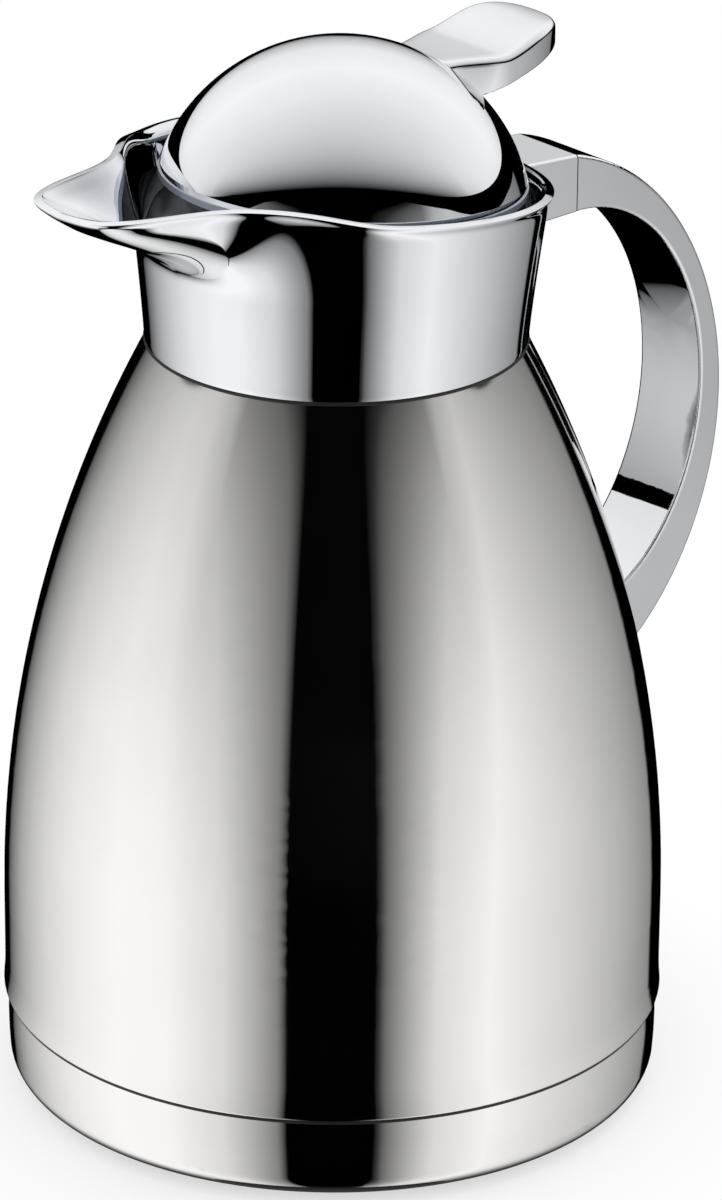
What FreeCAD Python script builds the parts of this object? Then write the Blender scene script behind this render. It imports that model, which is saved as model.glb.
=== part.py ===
"""Vacuum jug with a hinged, domed lid, in millimetres.

Frame: the origin is the centre of the rest plane, +Z is up, the spout points to -X and the
handle to +X, and the plane y = 0 is the plane of symmetry.

The jug is a welded double-walled steel vessel. A chromed pouring collar with a spout is clamped
over its neck, a strap handle joins the collar's lug to the barrel, and the lid, with its stopper
and thumb lever, turns on a pin at the back of the collar.
"""
import math
import os

import FreeCAD
import Part
import Sketcher
from FreeCAD import Placement, Rotation, Vector

DOC = FreeCAD.newDocument("VacuumJug")
SHEET = "Dims"
X_AXIS, Y_AXIS, Z_AXIS = Vector(1, 0, 0), Vector(0, 1, 0), Vector(0, 0, 1)

DIMENSIONS = [
    # foot
    ("pad_height", 1.2, "anti-slip disc under the foot and its cover"),
    ("pad_inset", 6.6, "anti-slip disc set in from the foot's side"),
    ("pad_edge", 0.4, "bevel of the disc's lower edge"),
    ("foot_height", 19.0, "rest plane to the seam under the barrel"),
    ("foot_inset", 0.8, "foot set in from the barrel"),
    ("foot_wall", 1.6, "foot ring wall"),
    ("foot_round", 4.6, "rounding of the foot's lower edge"),
    ("foot_edge", 0.6, "rounding of the foot's upper edge"),
    ("foot_bow", 80.0, "radius of the foot wall's gentle bow"),
    ("foot_flange", 18.6, "foot's underside, from its side to the opening that the base cover closes"),
    ("spigot_height", 2.9, "foot ring inside the barrel"),
    ("cover_wall", 1.8, "base cover plate"),
    ("cover_recess", 0.1, "base cover set in from the foot's underside"),
    ("base_screw_length", 8.0, "shank of a base screw"),
    ("cover_overlap", 5.0, "base cover resting on the foot's flange"),
    ("stud_inset", 13.0, "base studs in from the edge of that opening"),
    ("stud_radius", 4.0, "base stud"),
    ("stud_count", 3, "base studs and base screws"),
    # vessel
    ("barrel_radius", 66.4, "barrel at its widest"),
    ("barrel_height", 20.0, "straight part of the barrel above the seam"),
    ("hem", 0.35, "flare of the barrel's lower edge"),
    ("hem_height", 6.0, "height over which the barrel flares"),
    ("hem_edge", 0.5, "rounding of the barrel's lower edge"),
    ("shoulder_inset", 1.3, "shoulder's upper edge inside the collar's lower edge"),
    ("body_height", 138.6, "seam to the lower edge of the collar"),
    ("shell_wall", 0.8, "outer shell"),
    ("vessel_wall", 0.8, "inner vessel"),
    ("vacuum_gap", 5.7, "outer shell to inner vessel"),
    ("vessel_floor", 8.0, "inner vessel's floor above the seam"),
    ("neck_inset", 8.6, "outer shell's neck inside the collar's lower edge"),
    ("neck_gap", 1.2, "vacuum gap in the neck"),
    ("neck_rise", 19.4, "top of the neck above the collar's lower edge"),
    ("neck_root", 1.6, "bevel at the root of the neck"),
    ("shoulder_tuck", 1.6, "shoulder reaching up inside the collar"),
    ("shoulder_rise", 1.8, "rise of the shoulder under the collar"),
    ("throat_drop", 6.0, "inner vessel's throat below the collar's lower edge"),
    ("throat_rise", 5.5, "rise of the inner vessel towards its throat"),
    ("getter_radius", 6.0, "getter pill in the vacuum space"),
    ("getter_height", 1.6, "getter pill"),
    ("plug_radius", 5.0, "evacuation plug under the bottom"),
    ("plug_height", 1.8, "evacuation plug"),
    # collar
    ("collar_taper", 4.4, "collar's lower edge inside its rim"),
    ("collar_height", 35.4, "collar's lower edge to the rim, at the axis"),
    ("collar_wall", 1.6, "collar wall and rim"),
    ("rim_room", 4.25, "rim beyond the sphere of the lid's dome"),
    ("rim_slope", 0.11, "rise of the rim towards the spout"),
    ("rim_bow", 0.0008, "levelling of the rim towards the tip"),
    ("rim_flare", 0.5, "rolled lip standing out of the wall"),
    ("spout_reach", 27.3, "spout tip beyond the rim's circle"),
    ("spout_spread", 16.6, "half angle of the spout at half its reach"),
    ("spout_start", 0.5, "share of the collar's height below the spout"),
    ("ledge_height", 2.5, "collar's clamping ledge"),
    ("gasket_height", 1.2, "gasket under the ledge"),
    ("gasket_width", 3.6, "gasket, radially"),
    ("nut_height", 5.0, "ring nut on the neck"),
    ("nut_wall", 5.0, "ring nut, radially"),
    ("funnel_wall", 1.1, "pouring ring around the mouth"),
    ("funnel_drop", 5.0, "fall of the pouring ring towards the wall"),
    # handle
    ("handle_width", 18.0, "strap handle"),
    ("handle_edge", 0.7, "rounding of the strap's edges"),
    ("lug_reach", 13.0, "seam between the lug and the handle, beyond the rim"),
    ("lug_taper", 0.9, "rise of the lug's top towards the collar"),
    ("outer_inset", 23.6, "outer ellipse of the strap, its centre in from the barrel's side"),
    ("outer_drop", 32.5, "outer ellipse's centre below the collar"),
    ("outer_half_depth", 53.6, "outer ellipse, sideways"),
    ("outer_half_height", 61.3, "outer ellipse, upwards"),
    ("inner_inset", 10.5, "inner ellipse of the strap, its centre in from the barrel's side"),
    ("inner_drop", 28.9, "inner ellipse's centre below the collar"),
    ("inner_half_depth", 34.8, "inner ellipse, sideways"),
    ("inner_half_height", 44.1, "inner ellipse, upwards"),
    ("tenon_length", 8.0, "handle's tenon in the lug"),
    ("tenon_width", 10.0, "tenon, across"),
    ("tenon_cover", 2.8, "lug above and below the tenon"),
    ("boss_drop", 78.6, "boss for the handle's foot, below the collar"),
    ("boss_reach", 7.0, "boss standing out of the barrel"),
    ("boss_size", 7.2, "boss, across and upwards"),
    ("boss_cover", 2.2, "handle below the boss, under the foot screw's head"),
    # lid
    ("lid_offset", 0.7, "lid's centre towards the handle"),
    ("lid_sink", 13.6, "centre of the dome's sphere below the rim"),
    ("lid_tilt", 4.2, "lean of the lid towards the handle, degrees"),
    ("dome_radius", 37.75, "sphere of the dome"),
    ("dome_base", 12.1, "edge of the dome above the sphere's centre"),
    ("dome_lip", 1.2, "upright lip under the dome"),
    ("dome_wall", 1.0, "dome"),
    ("trim_height", 1.2, "trim ring under the dome"),
    ("trim_proud", 0.3, "trim ring standing out of the dome's lip"),
    ("pan_wall", 1.2, "lid pan"),
    ("pan_depth", 7.2, "lid pan below the trim ring"),
    ("pan_taper", 4.5, "lid pan drawn in towards its floor"),
    ("stopper_room", 1.8, "stopper's shoulder inside the mouth"),
    ("stopper_taper", 2.8, "stopper drawn in towards its lower end"),
    ("stopper_depth", 9.5, "stopper below the mouth"),
    ("stopper_step", 4.4, "stopper above its shoulder, set in from it"),
    ("seal_overlap", 1.4, "stopper seal resting on the mouth's edge"),
    ("seal_height", 2.0, "stopper seal"),
    ("lid_screw_inset", 7.0, "lid screws in from the side of the stopper's neck"),
    ("lid_screw_count", 3, "lid screws"),
    ("lid_screw_length", 9.0, "shank of a lid screw"),
    ("insulation_gap", 3.0, "air between the dome and its insulation"),
    # lever
    ("lever_width", 22.0, "thumb lever"),
    ("lever_neck", 16.4, "thumb lever where it leaves the dome"),
    ("lever_reach", 14.85, "tip of the thumb lever beyond the dome's sphere"),
    ("lever_round", 6.3, "depth of the lever's rounded end"),
    ("lever_blend", 5.0, "blends along the lever's outline"),
    ("lever_rise", 18.6, "thumb rest above the rim"),
    ("lever_root_rise", 8.0, "underside of the lever at its root, above the rim"),
    ("lever_dip", 0.8, "top of the lever at its root, below the thumb rest"),
    ("lever_crest_span", 11.6, "length of the crest"),
    ("lever_side", 90.0, "radius of the bow of the lever's sides"),
    ("lever_hollow", 60.0, "radius of the hollow of the thumb rest"),
    ("lever_crest", 24.0, "radius of the crest at the lever's end"),
    ("lever_belly", 300.0, "radius of the lever's underside"),
    ("lever_end", 1.2, "thickness the lever tapers to, beyond its tip"),
    ("lever_edge", 0.8, "rounding of the lever's edges"),
    ("lever_screw_angle", 43.0, "lever screws above the level, degrees"),
    ("lever_screw_length", 5.0, "shank of a lever screw"),
    # hinge
    ("hinge_inset", 5.3, "hinge pin inside the rim"),
    ("hinge_sink", 6.5, "hinge pin below the rim"),
    ("pin_radius", 1.25, "hinge pin"),
    ("ear_radius", 2.4, "hinge ears and knuckle"),
    ("ear_width", 2.6, "one hinge ear"),
    ("knuckle_width", 9.2, "lid's knuckle between the ears"),
    ("tongue_length", 5.0, "tongue between the knuckle and the lid pan"),
    # fits and fasteners
    ("seam_gap", 0.25, "visible seams"),
    ("seat_gap", 0.1, "pieces that are fitted into each other"),
    ("lid_gap", 0.3, "lid parts to fixed parts"),
    ("running_gap", 0.05, "knuckle on the pin"),
    ("screw_radius", 1.5, "screw shanks"),
    ("screw_head", 2.7, "screw heads"),
    ("screw_head_height", 1.6, "screw heads"),
]


class Dim:
    """A size: its present value and the expression that binds a feature to the sheet."""

    def __init__(self, value, text):
        self.value = value
        self.text = text

    def _join(self, other, sign, value):
        return Dim(value, "(%s %s %s)" % (self.text, sign, other.text))

    def __add__(self, other):
        other = as_dim(other)
        return self._join(other, "+", self.value + other.value)

    def __sub__(self, other):
        other = as_dim(other)
        return self._join(other, "-", self.value - other.value)

    def __mul__(self, other):
        other = as_dim(other)
        return self._join(other, "*", self.value * other.value)

    def __truediv__(self, other):
        other = as_dim(other)
        return self._join(other, "/", self.value / other.value)

    def __neg__(self):
        return Dim(-self.value, "(-1 * %s)" % self.text)

    def root(self):
        return Dim(math.sqrt(self.value), "sqrt(%s)" % self.text)


def as_dim(number):
    return number if isinstance(number, Dim) else Dim(number, repr(number))


def make_sheet():
    sheet = DOC.addObject("Spreadsheet::Sheet", SHEET)
    for row, (name, value, note) in enumerate(DIMENSIONS, 1):
        sheet.set("A%d" % row, name)
        sheet.set("B%d" % row, str(value))
        sheet.set("C%d" % row, note)
        sheet.setAlias("B%d" % row, name)
    DOC.recompute()
    return {name: Dim(float(sheet.get(name)), "%s.%s" % (SHEET, name)) for name, _, _ in DIMENSIONS}


class Sizes:
    """The sheet's sizes and the places that follow from them."""

    def __init__(self, cells):
        for name, dim in cells.items():
            setattr(self, name, dim)
        self.foot_radius = self.barrel_radius - self.foot_inset
        self.pad_radius = self.foot_radius - self.pad_inset
        self.foot_opening = self.foot_radius - self.foot_flange
        self.stud_circle = self.foot_opening - self.stud_inset
        self.rim_radius = self.dome_radius + self.rim_room
        self.collar_radius = self.rim_radius - self.collar_taper
        self.neck_radius = self.collar_radius - self.neck_inset
        self.nut_radius = self.neck_radius + self.nut_wall
        self.lug_end = self.rim_radius + self.lug_reach
        self.outer_centre = self.barrel_radius - self.outer_inset
        self.inner_centre = self.barrel_radius - self.inner_inset
        self.hinge_offset = self.rim_radius - self.hinge_inset
        self.lever_tip = self.dome_radius + self.lever_reach
        self.seam_z = self.foot_height
        self.arc_z = self.seam_z + self.barrel_height
        self.collar_z = self.seam_z + self.body_height
        self.neck_top = self.collar_z + self.neck_rise
        self.shoulder_z = self.collar_z + self.shoulder_tuck
        self.shoulder_radius = self.shoulder_bend()
        self.root_z = self.shoulder_z + self.shoulder_rise
        self.root_radius = self.neck_radius + self.neck_root
        self.rim_z = self.collar_z + self.collar_height
        self.bottom_z = self.seam_z + self.spigot_height + self.seat_gap
        self.mouth_radius = self.neck_radius - self.shell_wall - self.neck_gap - self.vessel_wall
        self.stopper_radius = self.mouth_radius - self.stopper_room
        self.stopper_tip = self.stopper_radius - self.stopper_taper
        self.stopper_neck = self.stopper_radius - self.stopper_step
        self.seal_radius = self.mouth_radius + self.seal_overlap
        self.lid_screw_circle = self.stopper_neck - self.lid_screw_inset
        self.ledge_z = self.root_z + self.gasket_height
        self.nut_z = self.ledge_z + self.ledge_height + self.seat_gap
        self.dome_z = self.rim_z - self.lid_sink
        self.hinge_z = self.rim_z - self.hinge_sink
        self.lug_top = self.on_ellipse("outer", self.lug_end, 1)
        self.lug_bottom = self.on_ellipse("inner", self.lug_end, 1)
        self.tenon_z = (self.lug_top + self.lug_bottom) / 2
        self.tenon_height = self.lug_top - self.lug_bottom - self.tenon_cover * 2
        self.tenon_screw_x = self.lug_end - self.tenon_length / 2
        self.boss_z = self.collar_z - self.boss_drop
        self.trim_top = self.dome_base - self.dome_lip
        self.trim_low = self.trim_top - self.trim_height
        self.pan_radius = self.dome_radius - self.dome_wall * 4
        self.pan_floor = self.trim_low - self.pan_depth

    def on_ellipse(self, name, x, side):
        """Height of the strap's outer or inner ellipse at x, on its upper or lower side."""
        centre, drop = getattr(self, name + "_centre"), getattr(self, name + "_drop")
        depth, height = getattr(self, name + "_half_depth"), getattr(self, name + "_half_height")
        share = (x - centre) / depth
        return self.collar_z - drop + height * side * (as_dim(1) - share * share).root()

    def shoulder_bend(self):
        """Profile radius of the shoulder, which leaves the barrel upright and ends in the collar."""
        fall = self.barrel_radius - self.collar_radius + self.shoulder_inset
        rise = self.shoulder_z - self.arc_z
        return (fall * fall + rise * rise) / (fall * 2)

    def shoulder(self, inset, z):
        """Radius of the tapering shoulder at height z, set in from the outer shell's surface."""
        swing = self.shoulder_radius - inset
        rise = z - self.arc_z
        return self.barrel_radius - self.shoulder_radius + (swing * swing - rise * rise).root()


SIZE = Sizes(make_sheet())


def bind(feature, **dims):
    """Bind properties of a feature to the sheet; double underscores stand for dots."""
    for name, dim in dims.items():
        feature.setExpression(name.replace("__", "."), as_dim(dim).text)
    return feature


def place(feature, x=None, y=None, z=None, turn=None):
    """Place a feature, turned by an (axis, degrees) pair, at sizes of the sheet."""
    x, y, z = (as_dim(0 if value is None else value) for value in (x, y, z))
    rotation = Rotation(*turn) if turn else Rotation()
    feature.Placement = Placement(Vector(x.value, y.value, z.value), rotation)
    return bind(feature, Placement__Base__x=x, Placement__Base__y=y, Placement__Base__z=z)


# sketches


def arc_between(start, end, radius, side):
    """The shorter arc from start to end; side 1 bulges to the right of the way, -1 to the left."""
    chord = end - start
    middle = (start + end) * 0.5
    height = math.sqrt(radius ** 2 - (chord.Length / 2) ** 2)
    across = Vector(-chord.y, chord.x, 0).normalize()
    centre = middle + across * (height * side)
    top = centre + (middle - centre).normalize() * radius
    return Part.Arc(start, top, end)


def draw_outline(sketch, corners):
    """Draw a closed outline and hold every corner to the sheet.

    A corner is (across, up) or (across, up, radius, side), where the last two make the stretch
    to the next corner an arc.
    """
    ends = []
    points = [Vector(corner[0].value, corner[1].value, 0) for corner in corners]
    for index, corner in enumerate(corners):
        start, end = points[index], points[(index + 1) % len(points)]
        if len(corner) == 2:
            number = sketch.addGeometry(Part.LineSegment(start, end))
            ends.append((number, 1, 2))
            continue
        number = sketch.addGeometry(arc_between(start, end, corner[2].value, corner[3]))
        forward = sketch.getPoint(number, 1).distanceToPoint(start) < 1e-6
        ends.append((number, 1, 2) if forward else (number, 2, 1))
        radius = sketch.addConstraint(Sketcher.Constraint("Radius", number, corner[2].value))
        sketch.setExpression("Constraints[%d]" % radius, corner[2].text)
    for index, (number, first, _) in enumerate(ends):
        before, _, last = ends[index - 1]
        sketch.addConstraint(Sketcher.Constraint("Coincident", before, last, number, first))
        for kind, axis, dim in (("DistanceX", -2, corners[index][0]), ("DistanceY", -1, corners[index][1])):
            if dim.value == 0:
                sketch.addConstraint(Sketcher.Constraint("PointOnObject", number, first, axis))
                continue
            held = sketch.addConstraint(Sketcher.Constraint(kind, -1, 1, number, first, dim.value))
            sketch.setExpression("Constraints[%d]" % held, dim.text)


def sketch_on(body, plane, corners):
    sketch = body.newObject("Sketcher::SketchObject", body.Name + "_outline")
    origin = [feature for feature in body.Origin.OriginFeatures if feature.Role == plane][0]
    sketch.AttachmentSupport = [(origin, "")]
    sketch.MapMode = "FlatFace"
    draw_outline(sketch, [tuple(as_dim(value) if i != 3 else value for i, value in enumerate(corner))
                          for corner in corners])
    return sketch


def turned(name, corners):
    """A body turned around Z from an outline of (radius, height) corners."""
    body = DOC.addObject("PartDesign::Body", name)
    sketch = sketch_on(body, "XZ_Plane", corners)
    turn = body.newObject("PartDesign::Revolution", name + "_turn")
    turn.Profile = sketch
    turn.ReferenceAxis = (sketch, ["V_Axis"])
    turn.Angle = 360
    DOC.recompute()
    return body


def padded(name, plane, corners, length):
    """A body padded to both sides of one of its planes."""
    body = DOC.addObject("PartDesign::Body", name)
    sketch = sketch_on(body, plane, corners)
    pad = body.newObject("PartDesign::Pad", name + "_pad")
    pad.Profile = sketch
    pad.SideType = "Symmetric"
    bind(pad, Length=length)
    DOC.recompute()
    return body


# primitives and booleans


def cylinder(name, radius, height, x=None, y=None, z=None, turn=None):
    feature = bind(DOC.addObject("Part::Cylinder", name), Radius=radius, Height=height)
    return place(feature, x, y, z, turn)


def cross_cylinder(name, radius, width, x, z, y=0):
    """A cylinder along Y, centred on y."""
    y = as_dim(y)
    return cylinder(name, radius, width, x, y + as_dim(width) / 2, z, (X_AXIS, 90))


def block(name, low, high):
    """A box between two corners."""
    low, high = [as_dim(value) for value in low], [as_dim(value) for value in high]
    feature = DOC.addObject("Part::Box", name)
    bind(feature, Length=high[0] - low[0], Width=high[1] - low[1], Height=high[2] - low[2])
    return place(feature, *low)


def fuse(name, *shapes):
    feature = DOC.addObject("Part::MultiFuse", name)
    feature.Shapes = list(shapes)
    DOC.recompute()
    return feature


def cut(name, base, *tools):
    feature = DOC.addObject("Part::Cut", name)
    feature.Base = base
    feature.Tool = tools[0] if len(tools) == 1 else fuse(name + "_tools", *tools)
    DOC.recompute()
    return feature


def common(name, base, tool):
    feature = DOC.addObject("Part::Common", name)
    feature.Base, feature.Tool = base, tool
    DOC.recompute()
    return feature


def group(name, members):
    """Separate solids that share a node."""
    feature = DOC.addObject("Part::Compound", name)
    feature.Links = list(members)
    DOC.recompute()
    return feature


def rounded(name, base, radius, chosen):
    """Round the edges of a feature that the function chosen picks."""
    feature = DOC.addObject("Part::Fillet", name)
    feature.Base = base
    edges = [number for number, edge in enumerate(base.Shape.Edges, 1) if chosen(edge)]
    feature.Edges = [(number, radius.value, radius.value) for number in edges]
    DOC.recompute()
    return feature


def screw(name, x, y, z, length, turn=None, axis=Z_AXIS, share=1.0):
    """A cylinder-head screw whose shank starts at (x, y, z) and runs along the axis."""
    s = SIZE
    height = s.screw_head_height * share
    head_base = [as_dim(value) - height * along
                 for value, along in zip((x, y, z), (axis.x, axis.y, axis.z))]
    head = cylinder(name + "_head", s.screw_head * share, height, *head_base, turn)
    shank = cylinder(name + "_shank", s.screw_radius * share, length, x, y, z, turn)
    return fuse(name, head, shank)


def around(count, radius, start=0.0):
    """Places on a circle around the axis, as (x, y) sizes; start is a share of one step."""
    for index in range(int(count.value)):
        angle = 2 * math.pi * (index + start) / count.value
        yield radius * math.cos(angle), radius * math.sin(angle)


# the vessel


def hem_radius(s, inset, drop):
    """Radius of the flare at a drop below its top, set in from the shell's surface, and its bend."""
    bend = (s.hem_height * s.hem_height + s.hem * s.hem) / (s.hem * 2)
    swing = bend + inset
    edge = s.barrel_radius + bend - (swing * swing - drop * drop).root()
    return edge, swing


def make_outer_shell(s):
    wall, neck, bevel = s.shell_wall, s.neck_radius, s.neck_root
    hem_z = s.seam_z + s.hem_height
    hem, hem_bend = hem_radius(s, as_dim(0), s.hem_height - s.hem_edge)
    inner_hem, inner_bend = hem_radius(s, wall, s.hem_height)
    slant = wall * 0.4
    inner_z = s.shoulder_z - wall + slant
    return turned("outer_shell", [
        (inner_hem, s.seam_z),
        (hem - s.hem_edge, s.seam_z, s.hem_edge, 1),
        (hem, s.seam_z + s.hem_edge, hem_bend, -1),
        (s.barrel_radius, hem_z),
        (s.barrel_radius, s.arc_z, s.shoulder_radius, 1),
        (s.shoulder(as_dim(0), s.shoulder_z), s.shoulder_z),
        (s.root_radius, s.root_z),
        (neck, s.root_z + bevel),
        (neck, s.neck_top),
        (neck - wall, s.neck_top),
        (neck - wall, s.root_z + bevel - slant),
        (s.root_radius - slant, s.root_z - wall),
        (s.shoulder(wall, inner_z), inner_z, s.shoulder_radius - wall, -1),
        (s.barrel_radius - wall, s.arc_z),
        (s.barrel_radius - wall, hem_z, inner_bend, 1),
    ])


def make_inner_vessel(s):
    outside = s.shell_wall + s.vacuum_gap
    inside = outside + s.vessel_wall
    floor_z = s.seam_z + s.vessel_floor
    corner = s.arc_z - floor_z
    top_z = s.collar_z - s.throat_drop
    inner_top_z = top_z - s.vessel_wall * 0.6
    throat = s.neck_radius - s.shell_wall - s.neck_gap
    throat_z = top_z + s.throat_rise
    return turned("inner_vessel", [
        (as_dim(0), floor_z),
        (s.barrel_radius - outside - corner, floor_z, corner, 1),
        (s.barrel_radius - outside, s.arc_z, s.shoulder_radius - outside, 1),
        (s.shoulder(outside, top_z), top_z),
        (throat, throat_z),
        (throat, s.neck_top - s.vessel_wall),
        (s.neck_radius - s.shell_wall, s.neck_top - s.vessel_wall),
        (s.neck_radius - s.shell_wall, s.neck_top),
        (s.mouth_radius, s.neck_top),
        (s.mouth_radius, throat_z - s.vessel_wall * 0.5),
        (s.shoulder(inside, inner_top_z), inner_top_z, s.shoulder_radius - inside, -1),
        (s.barrel_radius - inside, s.arc_z, corner - s.vessel_wall, -1),
        (s.barrel_radius - outside - corner, floor_z + s.vessel_wall),
        (as_dim(0), floor_z + s.vessel_wall),
    ])


def make_bottom(s):
    edge = s.barrel_radius - s.shell_wall
    flange = edge - s.shell_wall
    plate = turned("vacuum_bottom", [
        (as_dim(0), s.bottom_z),
        (flange, s.bottom_z),
        (flange, s.seam_z + s.seam_gap),
        (edge, s.seam_z + s.seam_gap),
        (edge, s.bottom_z + s.shell_wall),
        (as_dim(0), s.bottom_z + s.shell_wall),
    ])
    getter = cylinder("getter_pill", s.getter_radius, s.getter_height, s.stud_circle * 0.5, None,
                      s.bottom_z + s.shell_wall)
    plug = DOC.addObject("Part::Cone", "evacuation_plug")
    bind(plug, Radius1=s.plug_radius * 0.7, Radius2=s.plug_radius, Height=s.plug_height)
    place(plug, z=s.bottom_z - s.plug_height)
    return [plate, getter, plug]


def make_foot(s):
    radius = s.foot_radius
    low = s.pad_height
    spigot = s.barrel_radius - s.shell_wall * 2 - s.seat_gap
    inside = radius - s.foot_wall
    top = s.seam_z - s.seam_gap
    ring = turned("foot_ring", [
        (s.foot_opening, low),
        (radius - s.foot_round, low, s.foot_round, 1),
        (radius, low + s.foot_round, s.foot_bow, 1),
        (radius, top - s.foot_edge, s.foot_edge, 1),
        (radius - s.foot_edge, top),
        (spigot, top),
        (spigot, s.seam_z + s.spigot_height),
        (spigot - s.foot_wall, s.seam_z + s.spigot_height),
        (spigot - s.foot_wall, top - s.foot_wall * 1.5),
        (inside, top - s.foot_wall * 3),
        (inside, low + s.foot_round, s.foot_round - s.foot_wall, -1),
        (radius - s.foot_round, low + s.foot_wall),
        (s.foot_opening, low + s.foot_wall),
    ])
    pad = turned("base_pad", [
        (as_dim(0), as_dim(0)),
        (s.pad_radius - s.pad_edge, as_dim(0)),
        (s.pad_radius, s.pad_edge),
        (s.pad_radius, s.pad_height),
        (as_dim(0), s.pad_height),
    ])
    return [ring, pad]


def make_base_cover(s):
    seat = s.pad_height + s.foot_wall
    top = seat + s.cover_wall
    low = s.pad_height + s.cover_recess
    plate = turned("base_cover_plate", [
        (as_dim(0), low),
        (s.foot_opening - s.seat_gap * 2, low),
        (s.foot_opening - s.seat_gap * 2, seat),
        (s.foot_opening + s.cover_overlap, seat),
        (s.foot_opening + s.cover_overlap, top),
        (as_dim(0), top),
    ])
    studs, screws, holes, bores = [], [], [], []
    shank_z = low + s.screw_head_height
    tip_z = shank_z + s.base_screw_length
    for x, y in around(s.stud_count, s.stud_circle, 0.5):
        screws.append(screw("base_screw", x, y, shank_z, s.base_screw_length))
        holes.append(cylinder("cover_hole", s.screw_radius + s.seat_gap, tip_z, x, y, 0))
        holes.append(cylinder("cover_counterbore", s.screw_head + s.seat_gap, shank_z, x, y, 0))
        bores.append(cylinder("stud_bore", s.screw_radius, tip_z - top, x, y, top))
        studs.append(cylinder("stud_post", s.stud_radius, s.bottom_z - top, x, y, top))
    cover = cut("base_cover", plate, *holes)
    posts = [cut("base_stud", post, bore) for post, bore in zip(studs, bores)]
    return [cover, group("base_studs", posts), group("base_screws", screws)]


def make_envelope(s, name, gap):
    """The space that the outer shell fills, grown by a gap."""
    gap = as_dim(gap)
    return turned(name, [
        (as_dim(0), s.seam_z),
        (s.barrel_radius + gap, s.seam_z),
        (s.barrel_radius + gap, s.arc_z, s.shoulder_radius + gap, 1),
        (s.shoulder(-gap, s.shoulder_z + gap), s.shoulder_z + gap),
        (s.root_radius, s.root_z + gap),
        (as_dim(0), s.root_z + gap),
    ])


# the collar

LIP_STEP_COUNT = 4
SKIN_WRAP_COUNT = 4
SKIN_LEVELS = (0.0, 0.2, 0.4, 0.5, 0.56, 0.62, 0.68, 0.74, 0.8, 0.86, 0.91, 0.95, 0.98, 1.0)
SKIN_FLARE = 0.03
SPOUT_CURL = 1.85
SPOUT_BLUNT = 1.8
WALL_FLARE = 1.15


def rim_height(s, x):
    return s.rim_z.value - s.rim_slope.value * x - s.rim_bow.value * x * x


def skin_radius(s, angle, level):
    """Outer radius of the collar at an angle from the handle, level 0 (edge) to 1 (rim)."""
    span = s.rim_radius.value - s.collar_radius.value
    away = abs(math.degrees(angle) - 180.0) / s.spout_spread.value
    start = s.spout_start.value
    rise = max(0.0, (level - start) / (1.0 - start))
    lift = 1.0 - (1.0 - rise ** SPOUT_CURL) ** SPOUT_BLUNT
    spout = s.spout_reach.value * lift / (1.0 + away ** 4)
    lip = s.rim_flare.value * (math.exp(-((1.0 - level) / SKIN_FLARE) ** 2) - 1.0)
    return s.collar_radius.value + span * level ** WALL_FLARE + spout + lip * level


def skin_point(s, angle, level):
    radius = skin_radius(s, angle, level)
    rim_x = skin_radius(s, angle, 1.0) * math.cos(angle)
    low = s.collar_z.value
    z = low + level * (rim_height(s, rim_x) - low)
    return Vector(radius * math.cos(angle), radius * math.sin(angle), z)


def skin_normal(s, angle, level):
    step = 1e-4
    high, low = min(level + step, 1.0), max(level - step, 0.0)
    along = skin_point(s, angle + step, level) - skin_point(s, angle - step, level)
    up = skin_point(s, angle, high) - skin_point(s, angle, low)
    return along.cross(up).normalize(), up.normalize()


def skin_section(s, angle):
    """Points up the outside, over the rolled lip and down the inside."""
    wall = s.collar_wall.value
    outside = [skin_point(s, angle, level) for level in SKIN_LEVELS]
    inside = [point - skin_normal(s, angle, level)[0] * wall for point, level in zip(outside, SKIN_LEVELS)]
    normal, up = skin_normal(s, angle, 1.0)
    middle = (outside[-1] + inside[-1]) * 0.5
    turns = [math.pi * step / LIP_STEP_COUNT for step in range(1, LIP_STEP_COUNT)]
    lip = [middle + (normal * math.cos(turn) + up * math.sin(turn)) * (wall / 2) for turn in turns]
    return outside + lip + inside[::-1]


def skin_angles():
    """Angles once around the collar from the handle, closer together at the spout."""
    angles, angle = [], 0.0
    while angle < 180.0 - 1e-6:
        angles.append(math.radians(angle))
        angle += 10.0 if angle < 120.0 - 1e-6 else 3.0
    return angles + [math.pi] + [2 * math.pi - value for value in angles[::-1]]


def spline_through(points, parameters):
    curve = Part.BSplineCurve()
    curve.interpolate(Points=points, Parameters=parameters)
    return curve


def spline_surface(sections, across, along):
    """A surface through sections of points, at given parameters across and along the sections."""
    columns = [spline_through(section, along) for section in sections]
    rows = [spline_through(list(poles), across) for poles in zip(*(column.getPoles() for column in columns))]
    poles = [list(pole) for pole in zip(*(row.getPoles() for row in rows))]
    surface = Part.BSplineSurface()
    surface.buildFromPolesMultsKnots(poles, rows[0].getMultiplicities(), columns[0].getMultiplicities(),
                                     rows[0].getKnots(), columns[0].getKnots(), False, False,
                                     rows[0].Degree, columns[0].Degree)
    return surface


def way_along(section):
    """Distance of each point of a section from its start."""
    ways = [0.0]
    for before, point in zip(section, section[1:]):
        ways.append(ways[-1] + before.distanceToPoint(point))
    return ways


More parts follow.
